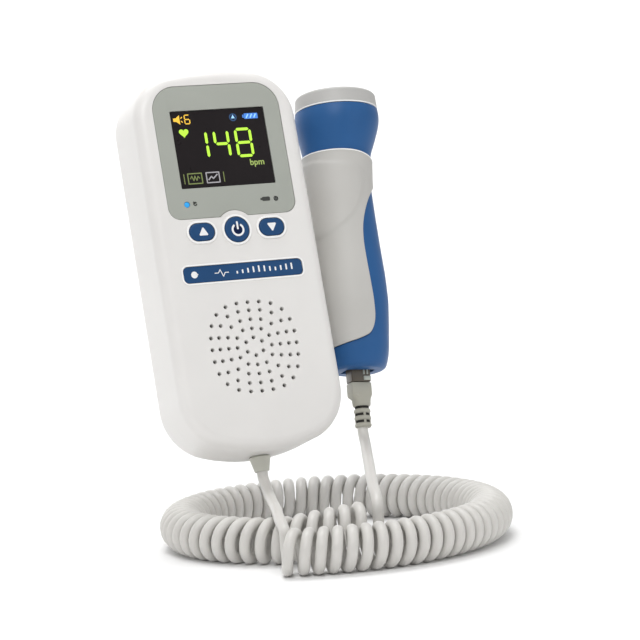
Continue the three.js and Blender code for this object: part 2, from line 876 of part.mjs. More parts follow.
// Strain relief: a flange inside the wall, a neck through it and a cone outside.
function strainRelief() {
  const outside = -caseLength / 2 - clearance;
  const inside = -caseLength / 2 + caseWall + clearance;
  return turned([
    [0, outside - reliefLength],
    [reliefTipRadius, outside - reliefLength],
    [reliefTopRadius, outside],
    [reliefNeckRadius, outside],
    [reliefNeckRadius, inside],
    [reliefFlangeRadius, inside],
    [reliefFlangeRadius, inside + reliefFlangeThickness],
    [0, inside + reliefFlangeThickness],
  ]).translate([0, partingDepth, 0]);
}

// Probe.

function handleRings(inset, bottom, top) {
  const heights = handleProfileShares.map(([share]) => share * handleLength);
  const curve = (column) => (height) => {
    const last = heights.length - 1;
    const after = Math.min(Math.max(heights.findIndex((value) => value > height), 1), last);
    const place = heights[last] <= height ? last : after;
    const low = heights[place - 1];
    const share = THREE.MathUtils.clamp((height - low) / (heights[place] - low), 0, 1);
    const [before, next] = [handleProfileShares[place - 1], handleProfileShares[place]];
    return gripRadius * THREE.MathUtils.lerp(before[column], next[column], share);
  };
  const radiusAt = curve(1);
  const shiftAt = curve(2);
  const levels = [bottom, ...heights.filter((height) => height > bottom && height < top), top];
  return levels.map((height) => {
    const points = [];
    const radius = radiusAt(height) - inset;
    for (let side = 0; side < probeSides; side += 1) {
      const angle = 2 * Math.PI * side / probeSides;
      const x = shiftAt(height) + radius * Math.cos(angle);
      points.push(new THREE.Vector3(x, radius * Math.sin(angle), height));
    }
    return points;
  });
}

function handleSolid(inset, bottom, top) {
  return toSolid(loft(handleRings(inset, bottom, top)));
}

// The part of the handle's front that the grip panel covers, as seen from the front.
function panelZone(grow) {
  const edge = panelEdgeShares.map(([height, across]) => (
    new THREE.Vector2(across * gripRadius + grow, height * handleLength)
  ));
  const smooth = new THREE.SplineCurve(edge).getPoints(edge.length * 2);
  const farLeft = -gripRadius * 2;
  const lowered = (point) => new THREE.Vector2(point.x, point.y - (point.y < handleLength / 4 ? grow : 0));
  const top = panelTopShares.map(([height, across]) => (
    new THREE.Vector2(across * gripRadius, height * handleLength + grow)
  ));
  const outline = [new THREE.Vector2(farLeft, edge[0].y - grow), ...smooth.map(lowered), ...top];
  const front = slab(new THREE.Shape(outline), -gripRadius * 2, -panelEdgeDepth + grow);
  const wrapRight = -gripRadius * panelWrapShare;
  const wrapBottom = dockTop + railGap + panelDockGap;
  const wrap = box(farLeft, wrapRight, -gripRadius * 2, panelWrapDepth + grow, wrapBottom - grow,
    handleLength);
  const below = slab(new THREE.Shape([new THREE.Vector2(farLeft, 0), new THREE.Vector2(gripRadius, 0),
    ...top.slice(1)]), -gripRadius * 2, gripRadius * 2);
  return front.add(wrap.intersect(below));
}

function gripPanel() {
  const shell = handleSolid(-panelProud, 0, collarHeight - clearance)
    .subtract(handleSolid(panelThickness - panelProud, -overrun, collarHeight + overrun));
  return shell.intersect(panelZone(0));
}

function railSlots() {
  const top = dockTop + railGap;
  const headFar = railHeadX + railHeadThickness + railGap;
  const headHalf = railHeadWidth / 2 + railGap;
  const neckHalf = railNeckWidth / 2 + railGap;
  return [
    box(railHeadX - railGap, headFar, -headHalf, headHalf, -overrun, top),
    box(-gripRadius * 2, headFar, -neckHalf, neckHalf, -overrun, top),
  ];
}

function probeBody() {
  const outer = handleSolid(0, 0, collarHeight - clearance);
  const pocketDepth = panelThickness - panelProud + clearance;
  const pocketSkin = handleSolid(-panelProud - overrun, -overrun, collarHeight + overrun)
    .subtract(handleSolid(pocketDepth, -overrun * 2, collarHeight + overrun * 2));
  const inner = handleSolid(probeWall, lowerPocketTop, collarHeight + overrun);
  const pocketX = jackWidth / 2 + clearance;
  const pocketY = jackDepth / 2 + clearance;
  const holeX = plugNoseWidth / 2 + plugHoleGap;
  const holeY = plugNoseDepth / 2 + plugHoleGap;
  return cut(outer, [
    pocketSkin.intersect(panelZone(clearance)),
    inner,
    box(-pocketX, pocketX, -pocketY, pocketY, tailWall, lowerPocketTop + overrun),
    box(-holeX, holeX, -holeY, holeY, -overrun, tailWall + overrun),
    ...railSlots(),
  ]);
}

function probeCollar() {
  const outer = handleSolid(0, collarHeight, handleLength);
  return outer.subtract(handleSolid(collarWall, collarHeight - overrun, handleLength + overrun));
}

const headRadius = gripRadius * handleProfileShares.at(-1)[1];
const capBottom = handleLength + clearance;
const capTop = capBottom + capHeight;
const cavityRadius = headRadius - collarWall;

function lensCap() {
  const shoulder = headRadius - capTaper;
  const profile = [
    [0, capTop - capWall],
    [cavityRadius - capTaper, capTop - capWall],
    [cavityRadius, capBottom],
    [headRadius, capBottom],
    [shoulder, capTop - capEdgeRadius],
  ];
  const steps = 4;
  for (let step = 1; step <= steps; step += 1) {
    const angle = Math.PI / 2 * step / steps;
    const height = capTop - capEdgeRadius * (1 - Math.sin(angle));
    profile.push([shoulder - capEdgeRadius * (1 - Math.cos(angle)), height]);
  }
  profile.push([0, capTop]);
  return turned(profile, probeSides);
}

function turnedDisc(radius, bottom, top) {
  return turned([[0, bottom], [radius, bottom], [radius, top], [0, top]]);
}

function crystal() {
  const top = capTop - capWall - clearance;
  return turnedDisc(crystalRadius, top - crystalThickness, top);
}

function backing() {
  const top = capTop - capWall - 2 * clearance - crystalThickness;
  return turnedDisc(backingRadius, top - backingThickness, top);
}

// A ring that centres the backing in the collar and seals the seam.
function sealRing() {
  const outer = cavityRadius - clearance - sealWidth / 2;
  const inner = backingRadius + clearance;
  const bottom = capBottom - sealThickness;
  const top = capBottom + sealThickness;
  return turned([[inner, bottom], [outer, bottom], [outer, top], [inner, top], [inner, bottom]]);
}

function jack() {
  const bottom = tailWall + clearance;
  const holeX = plugNoseWidth / 2 + plugHoleGap;
  const holeY = plugNoseDepth / 2 + plugHoleGap;
  const [halfX, halfY] = [jackWidth / 2, jackDepth / 2];
  const body = box(-halfX, halfX, -halfY, halfY, bottom, bottom + jackLength);
  return body.subtract(box(-holeX, holeX, -holeY, holeY, 0, plugInsertion + clearance));
}

function probeBoard() {
  const bottom = tailWall + 2 * clearance + jackLength;
  return box(-probeBoardWidth / 2, probeBoardWidth / 2, 0, probeBoardThickness, bottom, probeBoardTop);
}

// Plug.

function plugNose() {
  const nose = box(-plugNoseWidth / 2, plugNoseWidth / 2, -plugNoseDepth / 2, plugNoseDepth / 2,
    -plugNoseShown, plugInsertion);
  return nose;
}

function taperedBlock(topWidth, topDepth, top, endWidth, endDepth, end) {
  const ring = (width, depth, height) => [[1, -1], [1, 1], [-1, 1], [-1, -1]].map(([x, y]) => (
    new THREE.Vector3(x * width / 2, y * depth / 2, height)
  ));
  return toSolid(loft([ring(endWidth, endDepth, end), ring(topWidth, topDepth, top)]));
}

// The grey boot and its slotted tail are one moulding.
function plugBoot() {
  const top = -plugNoseShown - clearance;
  const waist = top - bootLength;
  const end = waist - tailLength;
  const slotPitch = tailLength / (tailSlots + tailSlotShare);
  const slotHeight = slotPitch * tailSlotShare;
  const tail = turnedDisc(tailRadius, end, waist + clearance);
  const core = tailRadius * tailCoreShare;
  const slots = [];
  for (let slot = 0; slot < tailSlots; slot += 1) {
    const slotTop = waist - slotPitch * slot - slotHeight * tailSlotShare;
    for (const side of [-1, 1]) {
      const across = side * (core + tailRadius);
      slots.push(box(across - tailRadius, across + tailRadius, -tailRadius * 2, tailRadius * 2,
        slotTop - slotHeight, slotTop));
      slots.push(box(-tailRadius * 2, tailRadius * 2, across - tailRadius, across + tailRadius,
        slotTop - slotHeight, slotTop));
    }
  }
  return taperedBlock(bootWidth, bootDepth, top, bootEndWidth, bootEndDepth, waist).add(cut(tail, slots));
}

// Dock: a wedge against the case's side with a rail parallel to the probe's axis. Its outline is
// worked out in the probe's frame and turned into the monitor's.

function fromProbeFrame(x, z) {
  return new THREE.Vector2(
    probeTailX + x * Math.cos(probeTiltAngle) + z * Math.sin(probeTiltAngle),
    probeTailZ - x * Math.sin(probeTiltAngle) + z * Math.cos(probeTiltAngle),
  );
}

function tiltedBlock(x0, x1, z0, z1, halfDepth) {
  const outline = [[x0, z0], [x1, z0], [x1, z1], [x0, z1]].map(([x, z]) => fromProbeFrame(x, z));
  return slab(new THREE.Shape(outline), probeDepth - halfDepth, probeDepth + halfDepth);
}

function probeDock() {
  const faceX = -gripRadius - dockFaceGap;
  const sideX = caseWidth / 2 + clearance;
  const lower = fromProbeFrame(faceX, dockBottom);
  const upper = fromProbeFrame(faceX, dockTop);
  const [foot, head] = [new THREE.Vector2(sideX, lower.y), new THREE.Vector2(sideX, upper.y)];
  const wedge = new THREE.Shape([foot, lower, upper, head]);
  const neckEnd = railHeadX + railHeadThickness / 2;
  return join([
    slab(wedge, probeDepth - dockDepth / 2, probeDepth + dockDepth / 2),
    tiltedBlock(faceX - dockFaceGap, neckEnd, dockBottom, dockTop, railNeckWidth / 2),
    tiltedBlock(railHeadX, railHeadX + railHeadThickness, dockBottom, dockTop, railHeadWidth / 2),
  ]);
}

// Cord.

function ringPoint(turn) {
  const angle = ringStartAngle + 2 * Math.PI * turn;
  const radius = ringStartRadius - ringShrinkPerTurn * turn;
  const outward = new THREE.Vector3(Math.cos(angle), Math.sin(angle), 0);
  const liftShare = Math.max(0, 1 - (ringTurns - turn) / ringLiftTurns);
  const height = ringHeight + ringEndLift * Math.sin(Math.PI / 2 * liftShare);
  const centre = new THREE.Vector3(ringCentreX, ringCentreY, height).addScaledVector(outward, radius);
  return { centre, outward, innerRadius: radius - curlRadius };
}

// Points on the curly cord's middle line. The curls are evenly spaced along the ring's inner side,
// where they come closest, and a little wider at both ends. The cord comes down on the inner side
// and leaves up the outer side.
function curlyPoints() {
  const steps = Math.round(curls * curlSteps);
  const places = [0];
  for (let step = 1; step <= steps; step += 1) {
    const atEnd = step <= curlSteps || step > steps - curlSteps;
    places.push(places[step - 1] + (atEnd ? endCurlSpread : 1));
  }
  const fine = 2000;
  const lengths = [0];
  for (let part = 1; part <= fine; part += 1) {
    const middle = ringPoint(ringTurns * (part - 1 / 2) / fine);
    lengths.push(lengths[part - 1] + middle.innerRadius);
  }
  const points = [];
  let part = 0;
  for (let step = 0; step <= steps; step += 1) {
    const wanted = lengths[fine] * places[step] / places[steps];
    while (part < fine && lengths[part + 1] < wanted) {
      part += 1;
    }
    const share = part < fine ? (wanted - lengths[part]) / (lengths[part + 1] - lengths[part]) : 0;
    const { centre, outward } = ringPoint(ringTurns * (part + share) / fine);
    const phase = Math.PI + 2 * Math.PI * step / curlSteps;
    points.push(centre.addScaledVector(outward, curlRadius * Math.cos(phase))
      .add(new THREE.Vector3(0, 0, curlRadius * Math.sin(phase))));
  }
  const start = points[0].clone().add(new THREE.Vector3(0, 0, straightEnd));
  const end = points.at(-1).clone().add(new THREE.Vector3(0, 0, straightEnd));
  return [start, ...points, end];
}

function curlyCord(points) {
  const tangents = points.map((point, place) => {
    const before = points[Math.max(place - 1, 0)];
    const after = points[Math.min(place + 1, points.length - 1)];
    return after.clone().sub(before).normalize();
  });
  tangents[0].set(0, 0, -1);
  tangents[tangents.length - 1].set(0, 0, 1);
  let across = new THREE.Vector3(1, 0, 0);
  const rings = points.map((point, place) => {
    across = across.addScaledVector(tangents[place], -across.dot(tangents[place])).normalize();
    const upward = new THREE.Vector3().crossVectors(tangents[place], across);
    const ring = [];
    for (let side = 0; side < curlSides; side += 1) {
      const angle = 2 * Math.PI * side / curlSides;
      ring.push(point.clone().addScaledVector(across, cordRadius * Math.cos(angle))
        .addScaledVector(upward, cordRadius * Math.sin(angle)));
    }
    return ring;
  });
  return loft(rings);
}

// The least gap between parts of the curly cord that lie half a curl or more apart along it.
function leastGap(points) {
  let least = Infinity;
  for (let place = 0; place < points.length; place += 1) {
    for (let other = place + curlSteps / 2; other < points.length; other += 1) {
      least = Math.min(least, points[place].distanceTo(points[other]));
    }
  }
  return least - 2 * cordRadius;
}

function plainStretch(route) {
  const points = route.map((point) => new THREE.Vector3(...point));
  const path = new THREE.CatmullRomCurve3(points, false, 'centripetal');
  const section = new THREE.Shape();
  for (let side = 0; side < cordSides; side += 1) {
    const angle = 2 * Math.PI * side / cordSides;
    const point = [cordRadius * Math.cos(angle), cordRadius * Math.sin(angle)];
    if (side === 0) {
      section.moveTo(...point);
    } else {
      section.lineTo(...point);
    }
  }
  section.closePath();
  const steps = Math.ceil(path.getLength() / stretchStepLength) * 2;
  return new THREE.ExtrudeGeometry(section, { steps, extrudePath: path });
}

const curlyRoute = curlyPoints();
console.log('least gap of the curly cord to itself, mm:', leastGap(curlyRoute).toFixed(3));

// Assembly.

const shades = {
  caseWhite: 0xedebe8,
  blue: 0x27517f,
  probeBlue: 0x35629a,
  boardGreen: 0x1f6b42,
  chipBlack: 0x1d1d20,
  steel: 0xb9bcc0,
  foam: 0x3a3a3c,
};

const monitor = new THREE.Group();
monitor.rotation.x = -leanBackAngle;
monitor.position.set(0, -caseDepth, -mountHeight).applyEuler(monitor.rotation);
monitor.add(
  piece('front_cover', frontCover(), shades.caseWhite, 0.45),
  piece('rear_cover', rearCover(), shades.caseWhite, 0.45),
  piece('battery_door', batteryDoor(), shades.caseWhite, 0.45),
  piece('display_bezel', displayBezel(), 0xa5a9a1, 0.5),
  piece('display_window', displayWindow(), 0x221e1f, 0.12),
  piece('display_module', displayModule(), 0x2a2a2d, 0.4),
  piece('display_gasket', displayGasket(), shades.foam, 0.95),
  piece('status_light', lightPipe(-lightSpread, blueLightRadius), 0x2d9ae0, 0.3),
  piece('battery_light', lightPipe(lightSpread, darkLightRadius), 0x3c3f3c, 0.3),
  piece('power_button', button(powerShape), shades.blue, 0.4),
  piece('volume_up_button', button((grow) => pillShape(-pillSpread, grow)), shades.blue, 0.4),
  piece('volume_down_button', button((grow) => pillShape(pillSpread, grow)), shades.blue, 0.4),
  piece('keypad_membrane', keypadMembrane(), 0x8d8f91, 0.9),
  piece('power_switch', switchBody(0), shades.chipBlack, 0.5),
  piece('volume_up_switch', switchBody(-pillSpread), shades.chipBlack, 0.5),
  piece('volume_down_switch', switchBody(pillSpread), shades.chipBlack, 0.5),
  piece('label_strip', labelStrip(), shades.blue, 0.4),
  piece('speaker_dust_mesh', dustMesh(), 0x111112, 0.9),
  piece('speaker_gasket', speakerGasket(), shades.foam, 0.95),
  piece('speaker_frame', speakerFrame(), shades.steel, 0.4, 0.9),
  piece('speaker_cone', speakerCone(), 0x2b2b2b, 0.8),
  piece('speaker_magnet', speakerMagnet(), 0x6e7175, 0.4, 0.8),
  piece('main_board', mainBoard(), shades.boardGreen, 0.5),
  ...boardPostPlaces.map(boardScrew),
  piece('processor_chip', chip(processorHeight, processorSize), shades.chipBlack, 0.5),
  piece('amplifier_chip', chip(amplifierHeight, amplifierSize), shades.chipBlack, 0.5),
  piece('board_capacitor', capacitor(), 0x31406e, 0.4),
  ...caseScrewPlaces.map(caseScrew),
  piece('battery_cell_left', batteryCell(1), 0xb98a3e, 0.35, 0.6),
  piece('battery_cell_right', batteryCell(-1), 0xb98a3e, 0.35, 0.6),
  piece('tip_contact_left', tipContact(1), shades.steel, 0.3, 1),
  piece('tip_contact_right', tipContact(-1), shades.steel, 0.3, 1),
  piece('battery_spring_left', springContact(1), shades.steel, 0.3, 1),
  piece('battery_spring_right', springContact(-1), shades.steel, 0.3, 1),
  piece('probe_dock', probeDock(), shades.caseWhite, 0.45),
  piece('cord_strain_relief', strainRelief(), 0xb9b9ae, 0.6),
);

const probe = new THREE.Group();
probe.position.set(probeTailX, probeDepth, probeTailZ);
probe.rotation.y = probeTiltAngle;
probe.add(
  piece('probe_body', probeBody(), shades.probeBlue, 0.45),
  piece('probe_grip_panel', gripPanel(), 0xc2c1bc, 0.5),
  piece('probe_collar', probeCollar(), shades.probeBlue, 0.45),
  piece('probe_lens_cap', lensCap(), 0xc9c7c5, 0.45),
  piece('transducer_crystal', crystal(), 0xd9c9a5, 0.5),
  piece('transducer_backing', backing(), 0x4a4540, 0.8),
  piece('probe_seal_ring', sealRing(), shades.foam, 0.9),
  piece('probe_board', probeBoard(), shades.boardGreen, 0.5),
  piece('probe_jack', jack(), shades.chipBlack, 0.5),
);

const plug = new THREE.Group();
plug.add(
  piece('plug_nose', plugNose(), 0xcfd2cf, 0.15),
  piece('plug_boot', plugBoot(), 0xa3a197, 0.6),
);
probe.add(plug);
monitor.add(probe);

const cord = new THREE.Group();
cord.add(
  piece('cord_unit_stretch', plainStretch(unitStretchRoute), 0xdedcd6, 0.5),
  piece('curly_cord', curlyCord(curlyRoute), 0xdedcd6, 0.5),
  piece('cord_probe_stretch', plainStretch(probeStretchRoute), 0xdedcd6, 0.5),
);

const dopplerMonitor = new THREE.Group();
dopplerMonitor.add(monitor, cord);

export default dopplerMonitor;
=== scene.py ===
"""Looks of the fetal doppler monitor: a leaning handheld unit with a docked probe and a curly cord."""

import math

import bpy
import numpy as np
from mathutils import Matrix, Vector


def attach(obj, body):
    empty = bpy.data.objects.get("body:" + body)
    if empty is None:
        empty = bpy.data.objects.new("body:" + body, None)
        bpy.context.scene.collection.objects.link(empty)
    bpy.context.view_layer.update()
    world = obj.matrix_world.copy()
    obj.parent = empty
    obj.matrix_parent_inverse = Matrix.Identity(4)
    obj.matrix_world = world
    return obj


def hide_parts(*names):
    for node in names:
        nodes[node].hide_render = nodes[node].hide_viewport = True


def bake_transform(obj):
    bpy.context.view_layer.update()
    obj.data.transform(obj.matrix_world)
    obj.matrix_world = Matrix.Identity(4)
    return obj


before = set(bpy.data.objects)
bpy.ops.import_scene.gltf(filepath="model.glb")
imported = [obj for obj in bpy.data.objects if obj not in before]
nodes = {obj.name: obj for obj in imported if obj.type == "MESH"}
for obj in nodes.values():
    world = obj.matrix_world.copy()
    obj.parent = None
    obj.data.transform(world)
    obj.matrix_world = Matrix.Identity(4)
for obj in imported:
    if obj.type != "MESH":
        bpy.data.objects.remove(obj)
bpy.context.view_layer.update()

# Camera, from the photograph's perspective, in the row frame
camera_place = Vector((-0.37307, -0.96183, 0.03115))
camera_right = Vector((0.9135, -0.4028, -0.0566))
camera_up = Vector((0.0846, 0.0520, 0.9951))
camera_lens = 154.74
sensor_width = 36.0
camera_near = 0.01
camera_far = 20

# Cord: a plain stretch and a curly ring on the table in one jacket, and a lead from the ring to the plug
cord_radius = 0.002
cord_sides = 20
cord_sharp = 60
ring_centre = Vector((0.021, -0.045, -0.1237))
ring_start_radius = 0.0694
ring_shrink_per_turn = 0.025
ring_start_angle = math.radians(236)
ring_turns = 1.1015
ring_end_lift = 0.0035
ring_lift_turns = 0.12
curl_radius = 0.0063
curls = 75.5
end_curl_spread = 1.15
curl_steps = 24
length_samples = 4001
straight_end = 2 * cord_radius
plain_step = 0.0012
table_height = ring_centre.z - curl_radius - cord_radius

unit_stretch = [
    (0, -0.04465, -0.1035), (0, -0.0453, -0.1058), (-0.0009, -0.05, -0.1086), (-0.0028, -0.0575, -0.1112),
    (-0.0063, -0.07, -0.113), (-0.0082, -0.076, -0.1133), (-0.0102, -0.082, -0.1139),
    (-0.0121, -0.088, -0.115), (-0.0136, -0.0942, -0.1165), (-0.01427, -0.0972, -0.1179),
    (-0.01429, -0.0973, -0.1194),
]
probe_stretch = [
    (0.02314, -0.09311, -0.1159), (0.02316, -0.09295, -0.1136), (0.0243, -0.09, -0.1111),
    (0.0276, -0.0805, -0.1082), (0.0317, -0.07, -0.106), (0.0358, -0.06, -0.1038), (0.0398, -0.05, -0.1014),
    (0.0426, -0.043, -0.0992), (0.044, -0.039, -0.0972), (0.04449, -0.03678, -0.0943),
    (0.04464, -0.03629, -0.09266),
]

# Monitor case, in its own frame: x across, y into its depth, z up its length
clearance = 0.0003
axis_radius = 0.000001
usual_sharp = 32
soft_edge_steps = 3
case_width = 0.0635
case_length = 0.1428
case_depth = 0.028
case_wall = 0.0022
parting_depth = 0.014
top_corner_radius = 0.0175
bottom_corner_radius = 0.019
top_edge_radius = 0.115
bottom_edge_radius = 0.060
front_fillet = 0.0044
rear_fillet = 0.0047
lean_back = math.radians(16.2)
mount_height = 0.035
corner_steps = 18
fillet_steps = 12
side_steps = 12
seam_gap = 0.00004
case_sharp = 28
behind_case = 1.1 * case_depth

bezel_width = 0.0497
bezel_top = 0.0654
bezel_bottom = 0.0154
bezel_thickness = 0.0012
bezel_top_radius = 0.0095
bezel_bottom_radius = 0.0045
bezel_notch_radius = 0.0075
bezel_edge = 0.00025
screen_width = 0.037
screen_height = 0.0294
screen_centre = 0.0414
window_thickness = 0.0009
window_ledge = 0.0014
window_edge = 0.0001
window_front = bezel_thickness - window_thickness
screen_corner_radius = 0.0004
light_spread = 0.01745
light_height = 0.0208
blue_light_radius = 0.001
dark_light_radius = 0.0008
light_pipe_back = 0.0067
light_dome_base = 0.0003
light_dome_rise = 0.0002

button_height = 0.01015
power_button_radius = 0.0047
pill_length = 0.00975
pill_width = 0.00645
pill_spread = 0.01366
button_proud = 0.0009
button_flange_width = 0.0009
button_flange_thickness = 0.0009
button_rim_width = 0.0009
button_rim_height = 0.0005
button_rim_edge = 0.0004
key_sides = 64
key_edge = 0.0005
key_crown = 0.00012
key_crown_shares = [0.3, 0.5, 0.7, 0.85, 0.95]

strip_length = 0.0464
strip_width = 0.006
strip_thickness = 0.0006
strip_corner_radius = 0.0019
strip_height = -0.00536
strip_rim_width = 0.0006
strip_rim_height = 0.0002
strip_rim_edge = 0.00018
strip_edge = 0.0002
strip_proud = 0.00005
# Painted highlights: bright bands on the rims round the keys and the strip, along the probe panel's top edge
# and round the lens cap's lower edge
highlight_lift = 0.00005
rim_highlight_share = 0.7
rim_highlight_hole_share = 0.8

grille_height = -0.0334
grille_centre_x = -0.00035
grille_hole_radius = 0.0007
grille_hole_sides = 16
grille_mouth_share = 1.35
grille_mouth_depth_share = 0.35
grille_mouth_lift_share = 0.01
grille_squareness = 0.1
grille_rings = [(0.0033, 6, 0.5), (0.0067, 12, 0), (0.01005, 16, 0), (0.0134, 20, 0), (0.01645, 24, 0)]

case_screw_spread = 0.025
case_screw_height = 0.054
screw_head_radius = 0.0022
screw_head_depth = 0.021

cell_radius = 0.00725
cell_length = 0.0494
cell_tip_length = 0.0011
bay_bottom_gap = 0.0149
spring_length = 0.0036
contact_thickness = 0.0004
cell_gap = 0.00035
bay_side_gap = 0.0004
bay_half_width = cell_radius * 2 + cell_gap + bay_side_gap
bay_front_depth = 0.0094
bay_wall = 0.0013
bay_frame = 0.0028
door_thickness = 0.0018
door_lip = 0.0019
door_corner_radius = 0.003
door_edge = 0.0003
bay_length = cell_length + cell_tip_length + spring_length + 2 * contact_thickness + 2 * clearance
bay_bottom = -case_length / 2 + bay_bottom_gap
bay_top = bay_bottom + bay_length
door_recess_depth = case_depth - door_thickness - clearance
ridge_half_length = 0.007
ridge_top_gap = 0.004
ridge_pitch = 0.0016
ridge_width = 0.0008
ridge_depth = 0.0005
ridge_count = 5

relief_neck_radius = 0.0031
relief_top_radius = 0.00395
relief_tip_radius = 0.00275
relief_length = 0.0048
relief_edge = 0.0003
relief_flange_width = 0.0015
relief_flange_thickness = 0.0016
cord_cover = 0.0006
cord_axis = Vector((0, parting_depth, 0))

# The relief's shoulder, in changes from its top radius and from its upper end
relief_shoulder = [(-0.00025, -0.001), (0, -0.0006), (0, -0.0002), (-0.0002, 0)]

# Marks on the screen, from its middle: places are x and z, and boxes have a width and a height after them
mark_thickness = 0.00006
mark_lift = 0.00004
rate_height = 0.0112
rate_place = 0.00145
rate_bar = 0.00104
rate_gap = 0.0005
rate_figures = [("bc", -0.00825, 0.006), ("fgbc", 0.0001, 0.0062), ("abcdefg", 0.0088, 0.0067)]
rate_height_shares = [0.98, 0.98, 1]
heart_place = (-0.0141, 0.0064)
heart_width = 0.0037
speaker_outline = [(-0.0174, 0.0108), (-0.0163, 0.0107), (-0.0149, 0.0096),
                   (-0.0149, 0.0132), (-0.0163, 0.0121), (-0.0174, 0.012)]
sound_lines = [[(-0.0144, 0.0109), (-0.0139, 0.0104)], [(-0.0144, 0.0119), (-0.0139, 0.0124)]]
sound_line_width = 0.00035
volume_box = (-0.012, 0.0114, 0.0023, 0.0037)
volume_bar = 0.0004
volume_gap = 0.0001
battery_box = (0.01315, 0.01135, 0.0054, 0.0021)
battery_corner_radius = 0.0003
battery_tip = [(0.01005, 0.0109), (0.01005, 0.0118)]
battery_tip_width = 0.0005
battery_bars = [[(x - 0.0004, 0.0107), (x + 0.0004, 0.012)] for x in (0.01165, 0.01315, 0.01465)]
battery_bar_width = 0.0004
signal_ring = (0.006, 0.0112, 0.00125)
signal_ring_width = 0.0005
signal_outline = [(0.006, 0.0122), (0.0053, 0.0108), (0.0067, 0.0108)]
list_box = (-0.0126, -0.011, 0.0054, 0.0038)
graph_box = (-0.0056, -0.011, 0.005, 0.0038)
box_line_width = 0.0004
list_wave = [(-0.0144, -0.011), (-0.0138, -0.01), (-0.0132, -0.0118), (-0.0126, -0.01), (-0.012, -0.0118),
             (-0.0114, -0.0102), (-0.0108, -0.011)]
list_wave_width = 0.00032
tick_lines = [[(x, -0.0128), (x, -0.0092)] for x in (-0.0168, -0.0013)]
tick_width = 0.0003
graph_wave = [(-0.0074, -0.0118), (-0.0062, -0.0106), (-0.0055, -0.0114), (-0.0038, -0.0099)]
graph_wave_width = 0.00045
unit_size = 0.0033
unit_weight = 0.00004
unit_x = 0.0126
unit_drop = 0.0073

# Marks on the bezel, the keys and the strip, from the case's middle
status_ring = (-0.0143, 0.0209, 0.0006)
status_ring_angles = (0.6, 2 * math.pi - 0.2)
status_ring_width = 0.0004
status_tail = [(-0.0149, 0.0216), (-0.0143, 0.021)]
status_tail_width = 0.0005
battery_mark_box = (0.0135, 0.0209, 0.0032, 0.0016, 0.0005)
battery_mark_tip = (0.0116, 0.0209, 0.0006, 0.0008, 0.0001)
key_mark_gap = 0.00001
key_mark_front = -button_proud - key_mark_gap
power_mark_shift = 0.0002
power_ring_radius = 0.0021
power_ring_width = 0.00075
power_ring_angles = (math.radians(122), math.radians(418))
power_well_radius = 0.0019
power_bar_rise = 0.0014
power_bar_width = 0.0007
power_bar_length = 0.003
power_bar_corner_radius = 0.0003
arrow_size = 0.0022
arrow_shift = 0.0003
up_arrow_shift = 0.0004
arrow_corner_share = 0.16
strip_dot_x = -0.0191
strip_dot_radius = 0.00125
strip_dot_tail = (-0.018, strip_height + 0.0001, 0.0008, 0.0004, 0.0001)
pulse_steps = [(-0.0112, 0), (-0.0098, 0), (-0.009, 0.0012), (-0.008, -0.0014), (-0.0072, 0), (-0.0058, 0)]
pulse_width = 0.0003
scale_start = -0.0025
scale_pitch = 0.00215
scale_drop = 0.0008
scale_width = 0.0006
scale_corner_radius = 0.0002
scale_heights = [0.001, 0.0014, 0.0018, 0.0022, 0.0024, 0.0022, 0.0018, 0.0014, 0.0018, 0.0022, 0.0024]

# Probe, in its own frame: z up its axis from the tail
probe_place = Vector((0.04663, 0.019, -0.0432))
probe_tilt = math.radians(5.43)
handle_length = 0.1004
grip_radius = 0.0137
probe_sides = 160
probe_step = 0.0006
panel_line_step = 0.0006
pad_line_step = 0.0015
profile_reach = 0.0022
tail_edge = 0.0012
cap_height = 0.0061
cap_taper = 0.0004
cap_edge_radius = 0.0013
cap_sides = 96
cap_sharp = 30
# Heights of the painted highlight bands round the cap's lower edge and along the panel's top edge
cap_highlight_height = 0.00045
panel_highlight_height = 0.00045
panel_proud = 0.0008
panel_thickness = 0.0022
panel_edge_depth = 0.0042
panel_wrap_depth = 0.0065
panel_wrap_share = 0.35
panel_wrap_bottom = 0.0268
panel_wrap_top_share = 0.825
panel_wrap_corner_radius = 0.002
panel_wrap_overlap = 0.004
panel_body_bottom = -0.001
panel_body_top_share = 0.87
panel_hollow_bottom = -0.002
panel_hollow_top_share = 0.88
panel_sharp = 40
pocket_reach = 0.001
thumb_pad_height = 0.00045
thumb_pad_slope = 0.0016
plug_nose_width = 0.0077
plug_nose_depth = 0.0056
plug_nose_corner_radius = 0.0004
plug_nose_edge = 0.00015
plug_insertion = 0.008
plug_nose_shown = 0.0042
plug_hole_gap = 0.0004
plug_hole_bottom = -0.001
plug_hole_top = 0.012
# How far the latch and its painted glint bars reach into the nose, and their soft edge
latch_and_glint_reach = 0.001
latch_and_glint_edge = 0.00012
boot_length = 0.0088
boot_end_shift = 0.0004
boot_face_depth = 0.0056
boot_bump_x = -0.0019
boot_bump_rise = 0.003996
boot_bump_sink = 0.0001
boot_bump_width = 0.002
boot_bump_height = 0.0014
boot_bump_proud = 0.0004
bump_tip_share = 0.02
bump_sides = 24
tail_radius = 0.0031
tail_length = 0.0074
tail_sides = 48
tail_rib_count = 3
tail_rib_edge = 0.00045
tail_slot_share = 0.36
# The tail's black core, painted shade in the slots between its ribs: its radius, rise and sides
tail_shade_core_radius = 0.0026
tail_shade_core_rise = 0.0003
tail_shade_core_sides = 32
tail_bridge_width = 0.0008
tail_bridge_angles = [math.radians(degrees) for degrees in (-95, -22, 60, 158)]
tail_recess_width = 0.0112
tail_recess_depth = 0.0078
tail_recess_radius = 0.0012
tail_recess_height = 0.0028

# Blocks of the plug's latch, the last two of them small light bars that are painted glints: left, right, how
# proud of the nose, bottom and top
latch_and_glint_blocks = [
    (0.0009, 0.00375, 0.0005, -0.0038, -0.0022), (0.0008, 0.0014, 0.0004, -0.0016, 0.0004),
    (0.0022, 0.0028, 0.0004, -0.0016, 0.0004),
]

